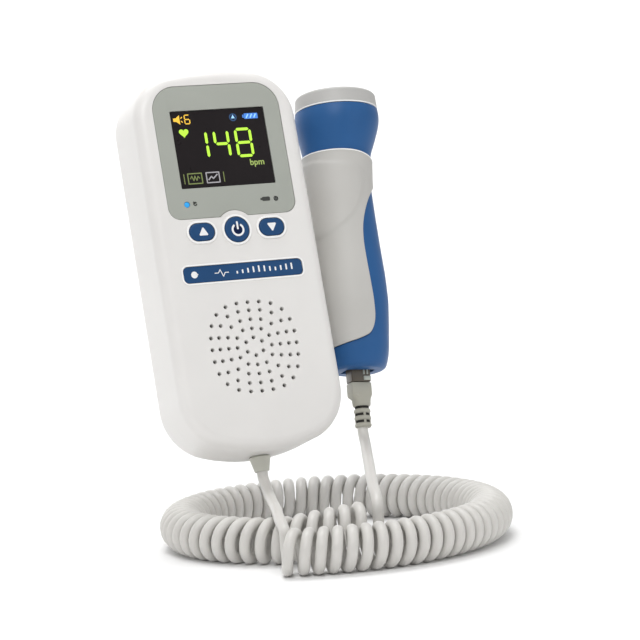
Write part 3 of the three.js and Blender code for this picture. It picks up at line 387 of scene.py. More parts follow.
# Sections of the plug's boot: width, depth, corner radius, height above its waist and shift
boot_sections = [
    (0.0062, 0.0056, 0.0026, 0, boot_end_shift),
    (0.0066, 0.0059, 0.0027, 0.0002, boot_end_shift),
    (0.0068, 0.0056, 0.002, 0.00264, boot_end_shift),
    (0.0078, 0.0055, 0.0008, 0.003696, 0),
    (0.0081, 0.0056, 0.0006, 0.004196, 0),
    (0.0081, 0.0056, 0.0006, 0.0085, 0),
    (0.0076, 0.0051, 0.0006, boot_length, 0),
]

# The handle's height, radius and sideways shift, then its panel's and its thumb pad's height and reach across
handle_profile_shares = [
    (0, 0.73, 0), (0.012, 0.79, 0), (0.035, 0.85, 0), (0.065, 0.898, 0), (0.161, 0.956, 0), (0.255, 1, 0),
    (0.355, 0.974, 0), (0.473, 0.91, -0.01), (0.587, 0.876, -0.04), (0.703, 0.88, -0.1),
    (0.823, 0.93, -0.095), (0.885, 1.055, -0.04), (0.944, 1.165, -0.01), (0.974, 1.175, 0), (1, 1.15, 0),
]
panel_edge_shares = [
    (0.066, -1.2), (0.091, -0.51), (0.101, -0.25), (0.12, 0.04), (0.15, 0.17), (0.185, 0.22), (0.235, 0.21),
    (0.315, 0.16), (0.394, 0.11), (0.475, 0.085), (0.534, 0.12), (0.588, 0.23), (0.639, 0.4), (0.679, 0.62),
    (0.708, 0.85), (0.739, 1.05),
]
panel_top_shares = [
    (0.744, 1.3), (0.785, 1.15), (0.8, 0.78), (0.81, 0.52), (0.818, 0.22), (0.822, -0.05), (0.825, -0.5),
    (0.825, -2),
]
thumb_pad_shares = [
    (0.8003, -2), (0.7983, -1.03), (0.785, -0.6), (0.7778, -0.13), (0.7676, 0.12), (0.7481, 0.27),
    (0.7082, 0.3), (0.6488, 0.19), (0.5935, 0.01), (0.5536, -0.24), (0.5239, -0.5), (0.5044, -0.71),
    (0.4911, -0.9), (0.4778, -2),
]

monitor_frame = Matrix.Rotation(-lean_back, 4, "X") @ Matrix.Translation((0, -case_depth, -mount_height))
probe_frame = monitor_frame @ Matrix.Translation(probe_place) @ Matrix.Rotation(probe_tilt, 4, "Y")


# Mesh making

def smooth_line(points, step):
    """Points every step or so along a centripetal Catmull-Rom curve through the given points."""
    known = [Vector(p) for p in points]
    known = [known[0] * 2 - known[1], *known, known[-1] * 2 - known[-2]]
    line = []
    for a, b, c, d in zip(known, known[1:], known[2:], known[3:]):
        knots = [0.0]
        for start, end in ((a, b), (b, c), (c, d)):
            knots.append(knots[-1] + math.sqrt((end - start).length))
        count = max(2, math.ceil((c - b).length / step))
        for place in range(count):
            t = knots[1] + (knots[2] - knots[1]) * place / count
            first = [p.lerp(q, (t - s) / (e - s)) for p, q, s, e in
                     zip((a, b, c), (b, c, d), knots, knots[1:])]
            second = [p.lerp(q, (t - s) / (e - s)) for p, q, s, e in
                      zip(first, first[1:], knots, knots[2:])]
            line.append(second[0].lerp(second[1], (t - knots[1]) / (knots[2] - knots[1])))
    line.append(known[-2])
    return line


def tube(points, radius, sides):
    """Rings of points round a line, turned along it without twist, and their closed faces."""
    tangents = [(points[min(i + 1, len(points) - 1)] - points[max(i - 1, 0)]).normalized()
                for i in range(len(points))]
    across = tangents[0].orthogonal().normalized()
    rings = []
    for point, tangent in zip(points, tangents):
        across = (across - tangent * across.dot(tangent)).normalized()
        other = tangent.cross(across)
        rings.append([point + radius * (across * math.cos(a) + other * math.sin(a))
                      for a in full_angles(sides)])
    return loft(rings)


def loft(rings):
    """Points and faces of rings joined in order, closed by a flat face at each end."""
    count = len(rings[0])
    points = [p for ring in rings for p in ring]
    faces = []
    for ring in range(len(rings) - 1):
        for k in range(count):
            a, b = ring * count + k, ring * count + (k + 1) % count
            faces.append((a, b, b + count, a + count))
    faces.append(tuple(reversed(range(count))))
    faces.append(tuple(range((len(rings) - 1) * count, len(rings) * count)))
    return points, faces


def joined(parts):
    points, faces = [], []
    for part_points, part_faces in parts:
        faces += [tuple(i + len(points) for i in face) for face in part_faces]
        points += part_points
    return points, faces


def quarter_angles(steps):
    """Angles from zero to a quarter turn, both included."""
    return [math.pi / 2 * k / steps for k in range(steps + 1)]


def full_angles(sides):
    return [2 * math.pi * k / sides for k in range(sides)]


def rounding(radius, steps):
    """How far each step of a rounded edge is in from its side and from its face, face last."""
    return [(radius * (1 - math.cos(a)), radius * (1 - math.sin(a))) for a in quarter_angles(steps)]


def moved(shape, place):
    points, faces = shape
    return [p + place for p in points], faces


def new_object(name, data):
    made = bpy.data.objects.new(name, data)
    bpy.context.scene.collection.objects.link(made)
    return made


def raw_object(name, shape):
    mesh = bpy.data.meshes.new(name)
    mesh.from_pydata([Vector(p) for p in shape[0]], [], shape[1])
    mesh.validate()
    return new_object(name, mesh)


def bake(piece):
    """Applies a piece's modifiers to its mesh."""
    graph = bpy.context.evaluated_depsgraph_get()
    mesh = bpy.data.meshes.new_from_object(piece.evaluated_get(graph))
    piece.modifiers.clear()
    piece.data = mesh


def carve(piece, tools, operation="DIFFERENCE"):
    """Cuts closed shapes out of a piece, or keeps what they share."""
    cutters = [raw_object("cutter", tool) for tool in tools]
    for cutter in cutters:
        cut = piece.modifiers.new("cut", "BOOLEAN")
        cut.operation = operation
        cut.solver = "MANIFOLD"
        cut.object = cutter
    bake(piece)
    for cutter in cutters:
        bpy.data.objects.remove(cutter)
    if not piece.data.polygons:
        raise ValueError(f"{piece.name} was cut away")


def shade(piece, material, sharp):
    """Smooths a piece but for its sharp edges, and gives it a look."""
    for polygon in piece.data.polygons:
        polygon.use_smooth = True
    piece.data.set_sharp_from_angle(angle=math.radians(sharp))
    piece.data.materials.clear()
    piece.data.materials.append(looks[material])


def finish_piece(piece, material, body, slot, *replaced, sharp=usual_sharp, soften=0, in_place=False):
    """Places a piece from its body's own frame unless it is in place, and shades and binds it."""
    if not in_place:
        piece.data.transform(probe_frame if body in ("probe", "plug") else monitor_frame)
    if soften:
        edge = piece.modifiers.new("edge", "BEVEL")
        edge.width = soften
        edge.segments = soft_edge_steps
        edge.limit_method = "ANGLE"
        edge.angle_limit = math.radians(sharp)
        edge.use_clamp_overlap = True
        bake(piece)
    shade(piece, material, sharp)
    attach(piece, body)
    if replaced:
        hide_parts(*replaced)
    return piece


def add_piece(name, shape, *finish, **options):
    return finish_piece(raw_object(name, shape), *finish, **options)


# Outlines in x and z

def arc(x, z, radius, start, end, steps):
    return [(x + radius * math.cos(a), z + radius * math.sin(a))
            for a in (start + (end - start) * k / steps for k in range(steps + 1))]


def case_end(corner_radius, edge_radius):
    corner_x = case_width / 2 - corner_radius
    edge_centre = case_length / 2 - edge_radius
    corner_z = edge_centre + math.sqrt((edge_radius - corner_radius) ** 2 - corner_x ** 2)
    return corner_x, corner_z, edge_centre, math.atan2(corner_z - edge_centre, corner_x)


def case_outline(inset):
    points = []
    for side, start, corner, edge in ((1, 0, top_corner_radius, top_edge_radius),
                                      (-1, math.pi, bottom_corner_radius, bottom_edge_radius)):
        x, z, middle, angle = case_end(corner, edge)
        points += arc(side * x, side * z, corner - inset, start, start + angle, corner_steps)
        points += arc(0, side * middle, edge - inset, start + angle, start + math.pi - angle,
                      corner_steps)[1:-1]
        points += arc(-side * x, side * z, corner - inset, start + math.pi - angle, start + math.pi,
                      corner_steps)
        z_start, z_end = side * z, -side * case_end(*other_end(side))[1]
        for k in range(1, side_steps):
            points.append((-side * (case_width / 2 - inset), z_start + (z_end - z_start) * k / side_steps))
    return points


def other_end(side):
    if side > 0:
        return bottom_corner_radius, bottom_edge_radius
    return top_corner_radius, top_edge_radius


def rounded(left, right, bottom, top, radius, steps=10):
    quarter = math.pi / 2
    return (arc(right - radius, top - radius, radius, 0, quarter, steps)
            + arc(left + radius, top - radius, radius, quarter, 2 * quarter, steps)
            + arc(left + radius, bottom + radius, radius, 2 * quarter, 3 * quarter, steps)
            + arc(right - radius, bottom + radius, radius, 3 * quarter, 4 * quarter, steps))


def centred(x, z, width, height, radius, steps=10):
    return rounded(x - width / 2, x + width / 2, z - height / 2, z + height / 2, radius, steps)


def disc(x, z, radius, sides=48):
    return arc(x, z, radius, 0, 2 * math.pi, sides)[:-1]


def pill(x, grow):
    radius = pill_width / 2 + grow
    reach = (pill_length - pill_width) / 2
    return (arc(x + reach, button_height, radius, -math.pi / 2, math.pi / 2, 24)
            + arc(x - reach, button_height, radius, math.pi / 2, 1.5 * math.pi, 24))


def power_outline(grow):
    return disc(0, button_height, power_button_radius + grow, key_sides)


def left_pill(grow):
    return pill(-pill_spread, grow)


def right_pill(grow):
    return pill(pill_spread, grow)


def strip_outline(grow):
    return centred(0, strip_height, strip_length + 2 * grow, strip_width + 2 * grow,
                   strip_corner_radius + grow)


def bezel_outline(grow):
    half = bezel_width / 2 + grow
    top, bottom = bezel_top + grow, bezel_bottom - grow
    top_radius, bottom_radius = bezel_top_radius + grow, bezel_bottom_radius + grow
    notch = bezel_notch_radius - grow
    angle = math.asin((bottom - button_height) / notch)
    quarter = math.pi / 2
    return (arc(half - top_radius, top - top_radius, top_radius, 0, quarter, 14)
            + arc(-half + top_radius, top - top_radius, top_radius, quarter, 2 * quarter, 14)
            + arc(-half + bottom_radius, bottom + bottom_radius, bottom_radius, 2 * quarter, 3 * quarter, 10)
            + arc(0, button_height, notch, math.pi - angle, angle, 20)
            + arc(half - bottom_radius, bottom + bottom_radius, bottom_radius, 3 * quarter, 4 * quarter, 10))


def at_depth(outline, depth):
    return [Vector((x, depth, z)) for x, z in outline]


def prism(outline, near, far):
    """A closed slab between two depths."""
    return loft([at_depth(outline, far), at_depth(outline, near)])


def tapered(width, depth, round_radius, height, shift=0.0):
    return [Vector((x, y, height)) for x, y in centred(shift, 0, width, depth, round_radius, 4)]


def softened(outline_of, near, far, edge, steps=5):
    """A slab whose near edge is rounded; outline_of(grow) gives its outline."""
    return loft([at_depth(outline_of(0), far)]
                + [at_depth(outline_of(-inset), near + drop) for inset, drop in rounding(edge, steps)])


def turned(profile, sides=64):
    """A closed profile of radius and height, from axis to axis, turned about z."""
    rings = []
    for radius, height in profile:
        reach = max(radius, axis_radius)
        rings.append([Vector((reach * math.cos(a), reach * math.sin(a), height)) for a in full_angles(sides)])
    return loft(rings)


def block(x0, x1, y0, y1, z0, z1):
    return loft([[Vector((x, y, z)) for x, y in ((x0, y0), (x1, y0), (x1, y1), (x0, y1))] for z in (z0, z1)])


# Materials

flow_size = 0.018
gloss_size = 0.009
grain_size = 0.0003
grain_height = 0.000012
polished_height = 0.000003
glass_height = 0.000002
metal_patch_size = 0.004
metal_grain_size = 0.0004
metal_grain_height = 0.00001
metal_gloss_size = 0.002
foam_patch_size = 0.0015
pore_size = 0.0006
pore_height = 0.0001
pixel_size = 0.0004
pixel_height = 0.000005
pixel_patch_size = 0.0007
track_size = 0.006
track_height = 0.00002
track_width_share = 0.06
usual_detail = 3
fine_detail = 2
noise_low_share = 0.3
noise_high_share = 0.7
plastic_mottle_share = 0.015
plastic_gloss_shares = (0.9, 1.12)
metal_gloss_shares = (0.7, 1.4)
metal_mottle_share = 0.08
foam_mottle_share = 0.25
foam_roughness = 0.95
pixel_mottle_share = 0.06
pixel_roughness = 0.4
board_roughness = 0.35
board_coat = 0.4
board_color = (0.014, 0.15, 0.055)
board_shades = {"Color1": (0.012, 0.14, 0.05, 1), "Color2": (0.016, 0.17, 0.06, 1),
                "Mortar": (0.05, 0.3, 0.12, 1)}
looks = {}


def fill(node, values):
    for name, value in values.items():
        node.inputs[name].default_value = value


def shader(name, color, roughness, metallic=0.0, specular=0.5, coat=0.0):
    """Adds a material to the looks; gives its node tree and its principled shader."""
    looks[name] = bpy.data.materials.new(name)
    looks[name].use_nodes = True
    tree = looks[name].node_tree
    surface = tree.nodes["Principled BSDF"]
    fill(surface, {"Base Color": (*color, 1), "Roughness": roughness, "Metallic": metallic,
                   "Specular IOR Level": specular, "Coat Weight": coat})
    return tree, surface


def add(tree, kind, values, **settings):
    node = tree.nodes.new(kind)
    for name, value in settings.items():
        setattr(node, name, value)
    fill(node, values)
    return node


def texture(tree, kind, values, stretch=(1, 1, 1)):
    """A texture in real sizes, by object coordinates."""
    source = add(tree, "ShaderNodeTexCoord", {})
    mapping = add(tree, "ShaderNodeMapping", {"Scale": stretch})
    pattern = add(tree, kind, values)
    tree.links.new(source.outputs["Object"], mapping.inputs["Vector"])
    tree.links.new(mapping.outputs["Vector"], pattern.inputs["Vector"])
    return pattern


def noise(tree, size, detail=usual_detail, stretch=(1, 1, 1)):
    """Noise whose patches are about size metres across."""
    return texture(tree, "ShaderNodeTexNoise", {"Scale": 1 / size, "Detail": detail}, stretch).outputs["Fac"]


def spread(tree, source, low, high):
    ranged = add(tree, "ShaderNodeMapRange", {"From Min": noise_low_share, "From Max": noise_high_share,
                                              "To Min": low, "To Max": high})
    tree.links.new(source, ranged.inputs["Value"])
    return ranged.outputs["Result"]


def mottle(tree, surface, color, share, size):
    """Varies the base colour a little, in patches of about the given size."""
    mix = add(tree, "ShaderNodeMix", {
        "A": (*[c * (1 - share) for c in color], 1),
        "B": (*[min(1, c * (1 + share)) for c in color], 1)}, data_type="RGBA")
    tree.links.new(spread(tree, noise(tree, size), 0, 1), mix.inputs["Factor"])
    tree.links.new(mix.outputs["Result"], surface.inputs["Base Color"])


def roughen(tree, surface, source, height):
    grain = add(tree, "ShaderNodeBump", {"Distance": height})
    tree.links.new(source, grain.inputs["Height"])
    tree.links.new(grain.outputs["Normal"], surface.inputs["Normal"])


def vary_gloss(tree, surface, roughness, size, gloss_shares):
    low, high = [roughness * share for share in gloss_shares]
    tree.links.new(spread(tree, noise(tree, size), low, high), surface.inputs["Roughness"])


def moulded(name, color, roughness, grain=grain_size, height=grain_height, share=plastic_mottle_share,
            coat=0.0, specular=0.5):
    """Injection-moulded plastic: a fine spark-eroded grain, faint flow patches and uneven gloss."""
    tree, surface = shader(name, color, roughness, coat=coat, specular=specular)
    mottle(tree, surface, color, share, flow_size)
    roughen(tree, surface, noise(tree, grain, fine_detail), height)
    vary_gloss(tree, surface, roughness, gloss_size, plastic_gloss_shares)


def metal(name, color, roughness, stretch=(1, 1, 1)):
    """Worn metal with a drawn grain."""
    tree, surface = shader(name, color, roughness, metallic=1.0)
    mottle(tree, surface, color, metal_mottle_share, metal_patch_size)
    roughen(tree, surface, noise(tree, metal_grain_size, fine_detail, stretch), metal_grain_height)
    vary_gloss(tree, surface, roughness, metal_gloss_size, metal_gloss_shares)


def foamed(name, color):
    """Closed-cell foam with open pores."""
    tree, surface = shader(name, color, foam_roughness)
    mottle(tree, surface, color, foam_mottle_share, foam_patch_size)
    pores = texture(tree, "ShaderNodeTexVoronoi", {"Scale": 1 / pore_size})
    roughen(tree, surface, pores.outputs["Distance"], pore_height)


def glowing(name, color, strength):
    """A lit screen element with a slight pixel ripple in its surface."""
    tree, surface = shader(name, color, pixel_roughness)
    fill(surface, {"Emission Color": (*color, 1), "Emission Strength": strength})
    roughen(tree, surface, noise(tree, pixel_size), pixel_height)
    mottle(tree, surface, color, pixel_mottle_share, pixel_patch_size)


def printed_board(name):
    """Solder mask with copper tracks under it."""
    tree, surface = shader(name, board_color, board_roughness, coat=board_coat)
    tracks = texture(tree, "ShaderNodeTexBrick", {
        "Scale": 1 / track_size, "Mortar Size": track_width_share, **board_shades})
    tree.links.new(tracks.outputs["Color"], surface.inputs["Base Color"])
    roughen(tree, surface, tracks.outputs["Fac"], track_height)


moulded("case_white", (0.78, 0.765, 0.745), 0.34)
moulded("door_white", (0.78, 0.765, 0.745), 0.38, share=0.02)
moulded("key_blue", (0.010, 0.060, 0.170), 0.38, share=0.05, specular=0.25)
moulded("strip_blue", (0.010, 0.060, 0.170), 0.33, share=0.05, specular=0.25)
moulded("bezel_grey", (0.375, 0.392, 0.352), 0.42, share=0.02)
moulded("probe_blue", (0.019, 0.100, 0.280), 0.42, share=0.04, specular=0.3)
moulded("grip_grey", (0.53, 0.52, 0.495), 0.5, grain=0.00022, height=0.000018, share=0.02)
moulded("cap_grey", (0.47, 0.465, 0.45), 0.45, share=0.02)
moulded("relief_grey", (0.58, 0.58, 0.515), 0.55, share=0.03)
moulded("boot_grey", (0.42, 0.41, 0.35), 0.45, share=0.05)
moulded("cord_jacket", (0.64, 0.625, 0.595), 0.36, grain=0.0007, height=0.000015, share=0.025)
moulded("ink_white", (0.88, 0.88, 0.88), 0.5, share=0.01)
# Painted highlight: the bright white of the bands on the key and strip rims, the panel's top edge and the
# cap's lower edge
moulded("trim_white", (0.93, 0.93, 0.925), 0.3, share=0.01)
moulded("ink_navy", (0.003, 0.012, 0.055), 0.5, share=0.05, specular=0.1)
moulded("ink_grey", (0.045, 0.047, 0.042), 0.6, share=0.1)
moulded("screen_black", (0.0145, 0.0115, 0.0125), 0.3, height=glass_height, share=0.1,
        specular=0.12)
moulded("plain_black", (0.02, 0.02, 0.022), 0.5, share=0.15)
# Painted shade: near black for the core seen through the tail's slots
moulded("slot_black", (0.012, 0.011, 0.009), 0.8, share=0.15)
moulded("dark_lens", (0.035, 0.04, 0.035), 0.2, share=0.1, coat=0.6)
moulded("clear_plug", (0.085, 0.070, 0.050), 0.3, height=polished_height, share=0.25, coat=0.2)
# The latch's clear plastic, also on two small light bars that are painted glints
moulded("latch_clear", (0.46, 0.49, 0.43), 0.12, height=polished_height, share=0.10, coat=0.8)
metal("steel", (0.6, 0.6, 0.62), 0.28, (1, 1, 8))
metal("cell_wrap", (0.48, 0.26, 0.05), 0.35)
metal("magnet_iron", (0.2, 0.2, 0.22), 0.45)
foamed("foam", (0.05, 0.05, 0.052))
printed_board("board_green")
glowing("lime", (0.42, 0.76, 0.045), 0.5)
glowing("dim_lime", (0.30, 0.40, 0.10), 0.35)
glowing("yellow", (0.80, 0.48, 0.04), 0.42)
glowing("screen_blue", (0.05, 0.19, 0.60), 0.45)
glowing("screen_navy", (0.02, 0.065, 0.16), 0.4)
glowing("screen_sky", (0.28, 0.55, 0.9), 0.6)
glowing("olive", (0.16, 0.20, 0.06), 0.35)
glowing("screen_grey", (0.32, 0.31, 0.33), 0.4)
glowing("led_blue", (0.02, 0.30, 0.68), 0.4)


# Camera

def add_camera():
    data = bpy.data.cameras.new("camera")
    data.sensor_width = sensor_width
    data.lens = camera_lens
    data.clip_start = camera_near
    data.clip_end = camera_far
    camera = new_object("camera", data)
    back = camera_right.cross(camera_up).normalized()
    up = back.cross(camera_right).normalized()
    right = up.cross(back).normalized()
    camera.matrix_world = Matrix.Translation(camera_place) @ Matrix((right, up, back)).transposed().to_4x4()
    bpy.context.scene.camera = camera


# Cords

def ring_point(turn):
    angle = ring_start_angle + 2 * math.pi * turn
    radius = ring_start_radius - ring_shrink_per_turn * turn
    outward = Vector((math.cos(angle), math.sin(angle), 0))
    lift_share = max(0, 1 - (ring_turns - turn) / ring_lift_turns)
    lift = Vector((0, 0, ring_end_lift * math.sin(math.pi / 2 * lift_share)))
    return ring_centre + lift + radius * outward, outward


def curly_line():
    """The curly part's middle line, evenly curled along the ring's inner side."""
    steps = round(curls * curl_steps)
    weights = [end_curl_spread if k < curl_steps or k >= steps - curl_steps else 1.0 for k in range(steps)]
    places = np.concatenate([[0], np.cumsum(weights)])
    turns = np.linspace(0, ring_turns, length_samples)
    inner = ring_start_radius - ring_shrink_per_turn * turns - curl_radius
    lengths = np.concatenate([[0], np.cumsum((inner[1:] + inner[:-1]) / 2)])
    found = np.interp(places / places[-1] * lengths[-1], lengths, turns)
    line = []
    for k, turn in enumerate(found):
        centre, outward = ring_point(float(turn))
        phase = math.pi + 2 * math.pi * k / curl_steps
        line.append(centre + curl_radius * (outward * math.cos(phase) + Vector((0, 0, math.sin(phase)))))
    lift = Vector((0, 0, straight_end))
    return [line[0] + lift, *line, line[-1] + lift]


def make_cords():
    first = smooth_line(unit_stretch, plain_step)
    line = first[:-1] + curly_line()
    cord = add_piece("curly_cord_jacket", tube(line, cord_radius, cord_sides), "cord_jacket", "monitor",
                     "cord_jacket", "cord_unit_stretch", "curly_cord", sharp=cord_sharp, in_place=True)
    second = smooth_line(probe_stretch, plain_step)
    second[0] = line[-1].copy()
    middle = len(second) // 2
    lower, upper = second[:middle + 1], second[middle:]
    return (lead_length("probe_lead_lower", lower), lower,
            lead_length("probe_lead_upper", upper), upper)


def lead_length(name, line):
    """One half of the probe's lead, between the bodies at its two ends."""
    lead = raw_object(name, tube(line, cord_radius, cord_sides))
    shade(lead, "cord_jacket", cord_sharp)
    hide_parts("cord_probe_stretch")
    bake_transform(lead)
    return lead


add_camera()
lower_lead, lower_line, upper_lead, upper_line = make_cords()


# Case

def case_body(inset, flat_depth, round_depth, fillet):
    """The case's body from a flat end to a rounded one."""
    toward = math.copysign(1, flat_depth - round_depth)
    rings = [at_depth(case_outline(inset), flat_depth)]
    rings += [at_depth(case_outline(inset + side), round_depth + toward * drop)
              for side, drop in rounding(fillet, fillet_steps)]
    if toward < 0:
        rings.reverse()
    return loft(rings)


def grille_cutters():
    parts = []
    for radius, count, phase in grille_rings:
        for k in range(count):
            angle = 2 * math.pi * (k + phase) / count
            reach = radius * (1 + grille_squareness * math.sin(2 * angle) ** 2)
            x, z = grille_centre_x + reach * math.cos(angle), grille_height + reach * math.sin(angle)
            mouth = disc(x, z, grille_hole_radius * grille_mouth_share, grille_hole_sides)
            hole = disc(x, z, grille_hole_radius, grille_hole_sides)
            parts.append(loft([
                at_depth(hole, case_wall * 2), at_depth(hole, grille_hole_radius * grille_mouth_depth_share),
                at_depth(mouth, -grille_hole_radius * grille_mouth_lift_share), at_depth(mouth, -case_wall)]))
    return joined(parts)


def through_front(outline):
    return prism(outline, -case_wall, case_wall * 2)


# Outlines with a rim round them, and the rim's width, height and edge
rimmed = [
    *[(outline_of, button_rim_width, button_rim_height, button_rim_edge)
      for outline_of in (power_outline, left_pill, right_pill)],
    (strip_outline, strip_rim_width, strip_rim_height, strip_rim_edge),
]


def make_front_cover():
    front = raw_object("case_front", case_body(0, parting_depth - seam_gap / 2, 0, front_fillet))
    carve(front, [softened(lambda grow: outline_of(clearance + width + grow), -height, case_wall / 2, edge)
                  for outline_of, width, height, edge in rimmed], "UNION")
    carve(front, [
        case_body(case_wall, parting_depth + case_wall, case_wall, front_fillet - case_wall),
        prism(bezel_outline(clearance / 2), -case_wall, bezel_thickness + clearance),
        through_front(centred(0, screen_centre, screen_width - 2 * window_ledge,
                              screen_height - 2 * window_ledge, clearance)),
        through_front(disc(-light_spread, light_height, blue_light_radius + clearance)),
        through_front(disc(light_spread, light_height, dark_light_radius + clearance)),
        *[through_front(outline_of(clearance)) for outline_of in (power_outline, left_pill, right_pill)],
        prism(centred(0, strip_height, strip_length + clearance, strip_width + clearance,
                      strip_corner_radius), -case_wall, strip_thickness + clearance),
        grille_cutters(),
        relief_cutter(),
    ])
    finish_piece(front, "case_white", "monitor", "case_white", "front_cover", sharp=case_sharp)


def relief_cutter():
    bottom, top = -case_length / 2 - case_wall, -case_length / 2 + 2 * case_wall
    radius = relief_neck_radius + clearance
    return moved(turned([(0, bottom), (radius, bottom), (radius, top), (0, top)]), cord_axis)


def door_outline(grow):
    half = bay_half_width + door_lip + grow
    return rounded(-half, half, bay_bottom - door_lip - grow, bay_top + door_lip + grow,
                   door_corner_radius + grow)


def bay_block(wall, front, back):
    """A box round the battery bay, larger than it by a wall on each of its four sides."""
    half = bay_half_width + wall
    return block(-half, half, front, back, bay_bottom - wall, bay_top + wall)


def make_rear_cover():
    rear = raw_object("case_rear", case_body(0, parting_depth + seam_gap / 2, case_depth, rear_fillet))
    carve(rear, [case_body(case_wall, parting_depth - case_wall, case_depth - case_wall,
                           rear_fillet - case_wall)])
    carve(rear, [bay_block(bay_wall, bay_front_depth, case_depth - case_wall / 2),
                 bay_block(bay_frame, door_recess_depth - bay_wall, case_depth - case_wall / 2)], "UNION")
    carve(rear, [
        bay_block(0, bay_front_depth + bay_wall, behind_case),
        prism(door_outline(clearance), door_recess_depth, behind_case),
        *[prism(disc(x, z, screw_head_radius + clearance, 40), screw_head_depth, behind_case)
          for x in (-case_screw_spread, case_screw_spread) for z in (-case_screw_height, case_screw_height)],
        relief_cutter(),
    ])
    finish_piece(rear, "case_white", "monitor", "case_white", "rear_cover", sharp=case_sharp)


make_front_cover()
make_rear_cover()


# Display, keys and strip

def make_bezel():
    bezel = raw_object("bezel_plate", softened(bezel_outline, 0, bezel_thickness, bezel_edge))
    carve(bezel, [prism(outline, -case_wall, case_wall) for outline in (
        centred(0, screen_centre, screen_width, screen_height, screen_corner_radius, 6),
        disc(-light_spread, light_height, blue_light_radius + clearance / 2),
        disc(light_spread, light_height, dark_light_radius + clearance / 2))])
    finish_piece(bezel, "bezel_grey", "monitor", "bezel_grey", "display_bezel")


def window_outline(grow):
    return centred(0, screen_centre, screen_width - clearance + 2 * grow,
                   screen_height - clearance + 2 * grow, screen_corner_radius, 4)


def make_window():
    add_piece("screen_glass", softened(window_outline, window_front, bezel_thickness, window_edge),
              "screen_black", "monitor", "window_dark", "display_window")


def stroke(points, width):
    """The outlines of a flat line's straight runs between points."""
    parts = []
    for (x0, z0), (x1, z1) in zip(points, points[1:]):
        length = math.hypot(x1 - x0, z1 - z0)
        nx, nz = -(z1 - z0) / length * width / 2, (x1 - x0) / length * width / 2
        ex, ez = (x1 - x0) / length * width / 4, (z1 - z0) / length * width / 4
        parts.append([(x0 - ex + nx, z0 - ez + nz), (x0 - ex - nx, z0 - ez - nz),
                      (x1 + ex - nx, z1 + ez - nz), (x1 + ex + nx, z1 + ez + nz)])
    return parts


def strokes(lines, width):
    return [outline for line in lines for outline in stroke(line, width)]


def segment(x, z, length, width, upright):
    """One bar of a seven-segment figure, with pointed ends."""
    along, half = length / 2, width / 2
    points = [(-along, 0), (-along + half, -half), (along - half, -half), (along, 0),
              (along - half, half), (-along + half, half)]
    if upright:
        points = [(-b, a) for a, b in points]
    return [(x + a, z + b) for a, b in points]


def figure(lit, x, z, width, height, bar, gap):
    """The lit bars of a seven-segment figure; bars are named a to g from the top round to the middle."""
    across, up = width - bar, (height - bar) / 2
    places = {
        "a": (0, up, across, False), "d": (0, -up, across, False), "g": (0, 0, across, False),
        "b": (across / 2, up / 2, up, True), "c": (across / 2, -up / 2, up, True),
        "f": (-across / 2, up / 2, up, True), "e": (-across / 2, -up / 2, up, True),
    }
    return [segment(x + px, z + pz, length - gap, bar, upright)
            for px, pz, length, upright in (places[name] for name in lit)]


def frame_outline(x, z, width, height):
    """Four bars round a box."""
    left, right, low, high = x - width / 2, x + width / 2, z - height / 2, z + height / 2
    return stroke([(left, low), (left, high), (right, high), (right, low), (left, low)], box_line_width)


def inlay(name, outlines, material, body, slot, front):
    """Thin flat marks on a face, from depth front back."""
    parts = []
    for outline in outlines:
        area = sum(x0 * z1 - x1 * z0 for (x0, z0), (x1, z1) in zip(outline, outline[1:] + outline[:1]))
        ordered = outline if area > 0 else outline[::-1]
        parts.append(prism(ordered, front, front + mark_thickness))
    add_piece(name, joined(parts), material, body, slot)


def heart(x, z, width, steps=28):
    """A heart's outline, from its well-known curve, which is 32 units wide."""
    points = []
    for k in range(steps):
        t = 2 * math.pi * k / steps
        px = 16 * math.sin(t) ** 3
        pz = 13 * math.cos(t) - 5 * math.cos(2 * t) - 2 * math.cos(3 * t) - math.cos(4 * t)
        points.append((x + px * width / 32, z + pz * width / 32))
    return points


def screen_mark(name, outlines, material, lift=mark_lift):
    placed = [[(x, z + screen_centre) for x, z in outline] for outline in outlines]
    inlay(name, placed, material, "monitor", "window_dark", window_front - lift)


def make_screen_marks():
    screen_mark("screen_rate", [
        bar for (lit, x, width), share in zip(rate_figures, rate_height_shares)
        for bar in figure(lit, x, rate_place, width, rate_height * share, rate_bar, rate_gap)], "lime")
    screen_mark("screen_heart", [heart(*heart_place, heart_width)], "lime")
    screen_mark("screen_volume", [speaker_outline, *strokes(sound_lines, sound_line_width),
                                  *figure("afgedc", *volume_box, volume_bar, volume_gap)], "yellow")
    screen_mark("screen_battery", [centred(*battery_box, battery_corner_radius, 3),
                                   *stroke(battery_tip, battery_tip_width)], "screen_blue")
    screen_mark("screen_battery_bars", strokes(battery_bars, battery_bar_width), "screen_sky",
                mark_lift + mark_thickness / 2)
    screen_mark("screen_signal_ring", stroke(arc(*signal_ring, 0, 2 * math.pi, 16), signal_ring_width),
                "screen_navy")
    screen_mark("screen_signal", [signal_outline], "screen_sky")
    screen_mark("screen_list_box", [*frame_outline(*list_box), *stroke(list_wave, list_wave_width),
                                    *strokes(tick_lines, tick_width)], "olive")
    screen_mark("screen_graph_box", [*frame_outline(*graph_box), *stroke(graph_wave, graph_wave_width)],
                "screen_grey")
    unit = bpy.data.curves.new("screen_unit", "FONT")
    unit.body = "bpm"
    unit.size = unit_size
    unit.align_x = "CENTER"
    unit.offset = unit_weight
    unit.extrude = mark_thickness / 2
    words = new_object("screen_unit", unit)
    place = Matrix.Translation((unit_x, window_front - mark_lift / 2, screen_centre - unit_drop))
    words.matrix_world = monitor_frame @ place @ Matrix.Rotation(math.pi / 2, 4, "X")
    unit.materials.append(looks["dim_lime"])
    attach(words, "monitor")


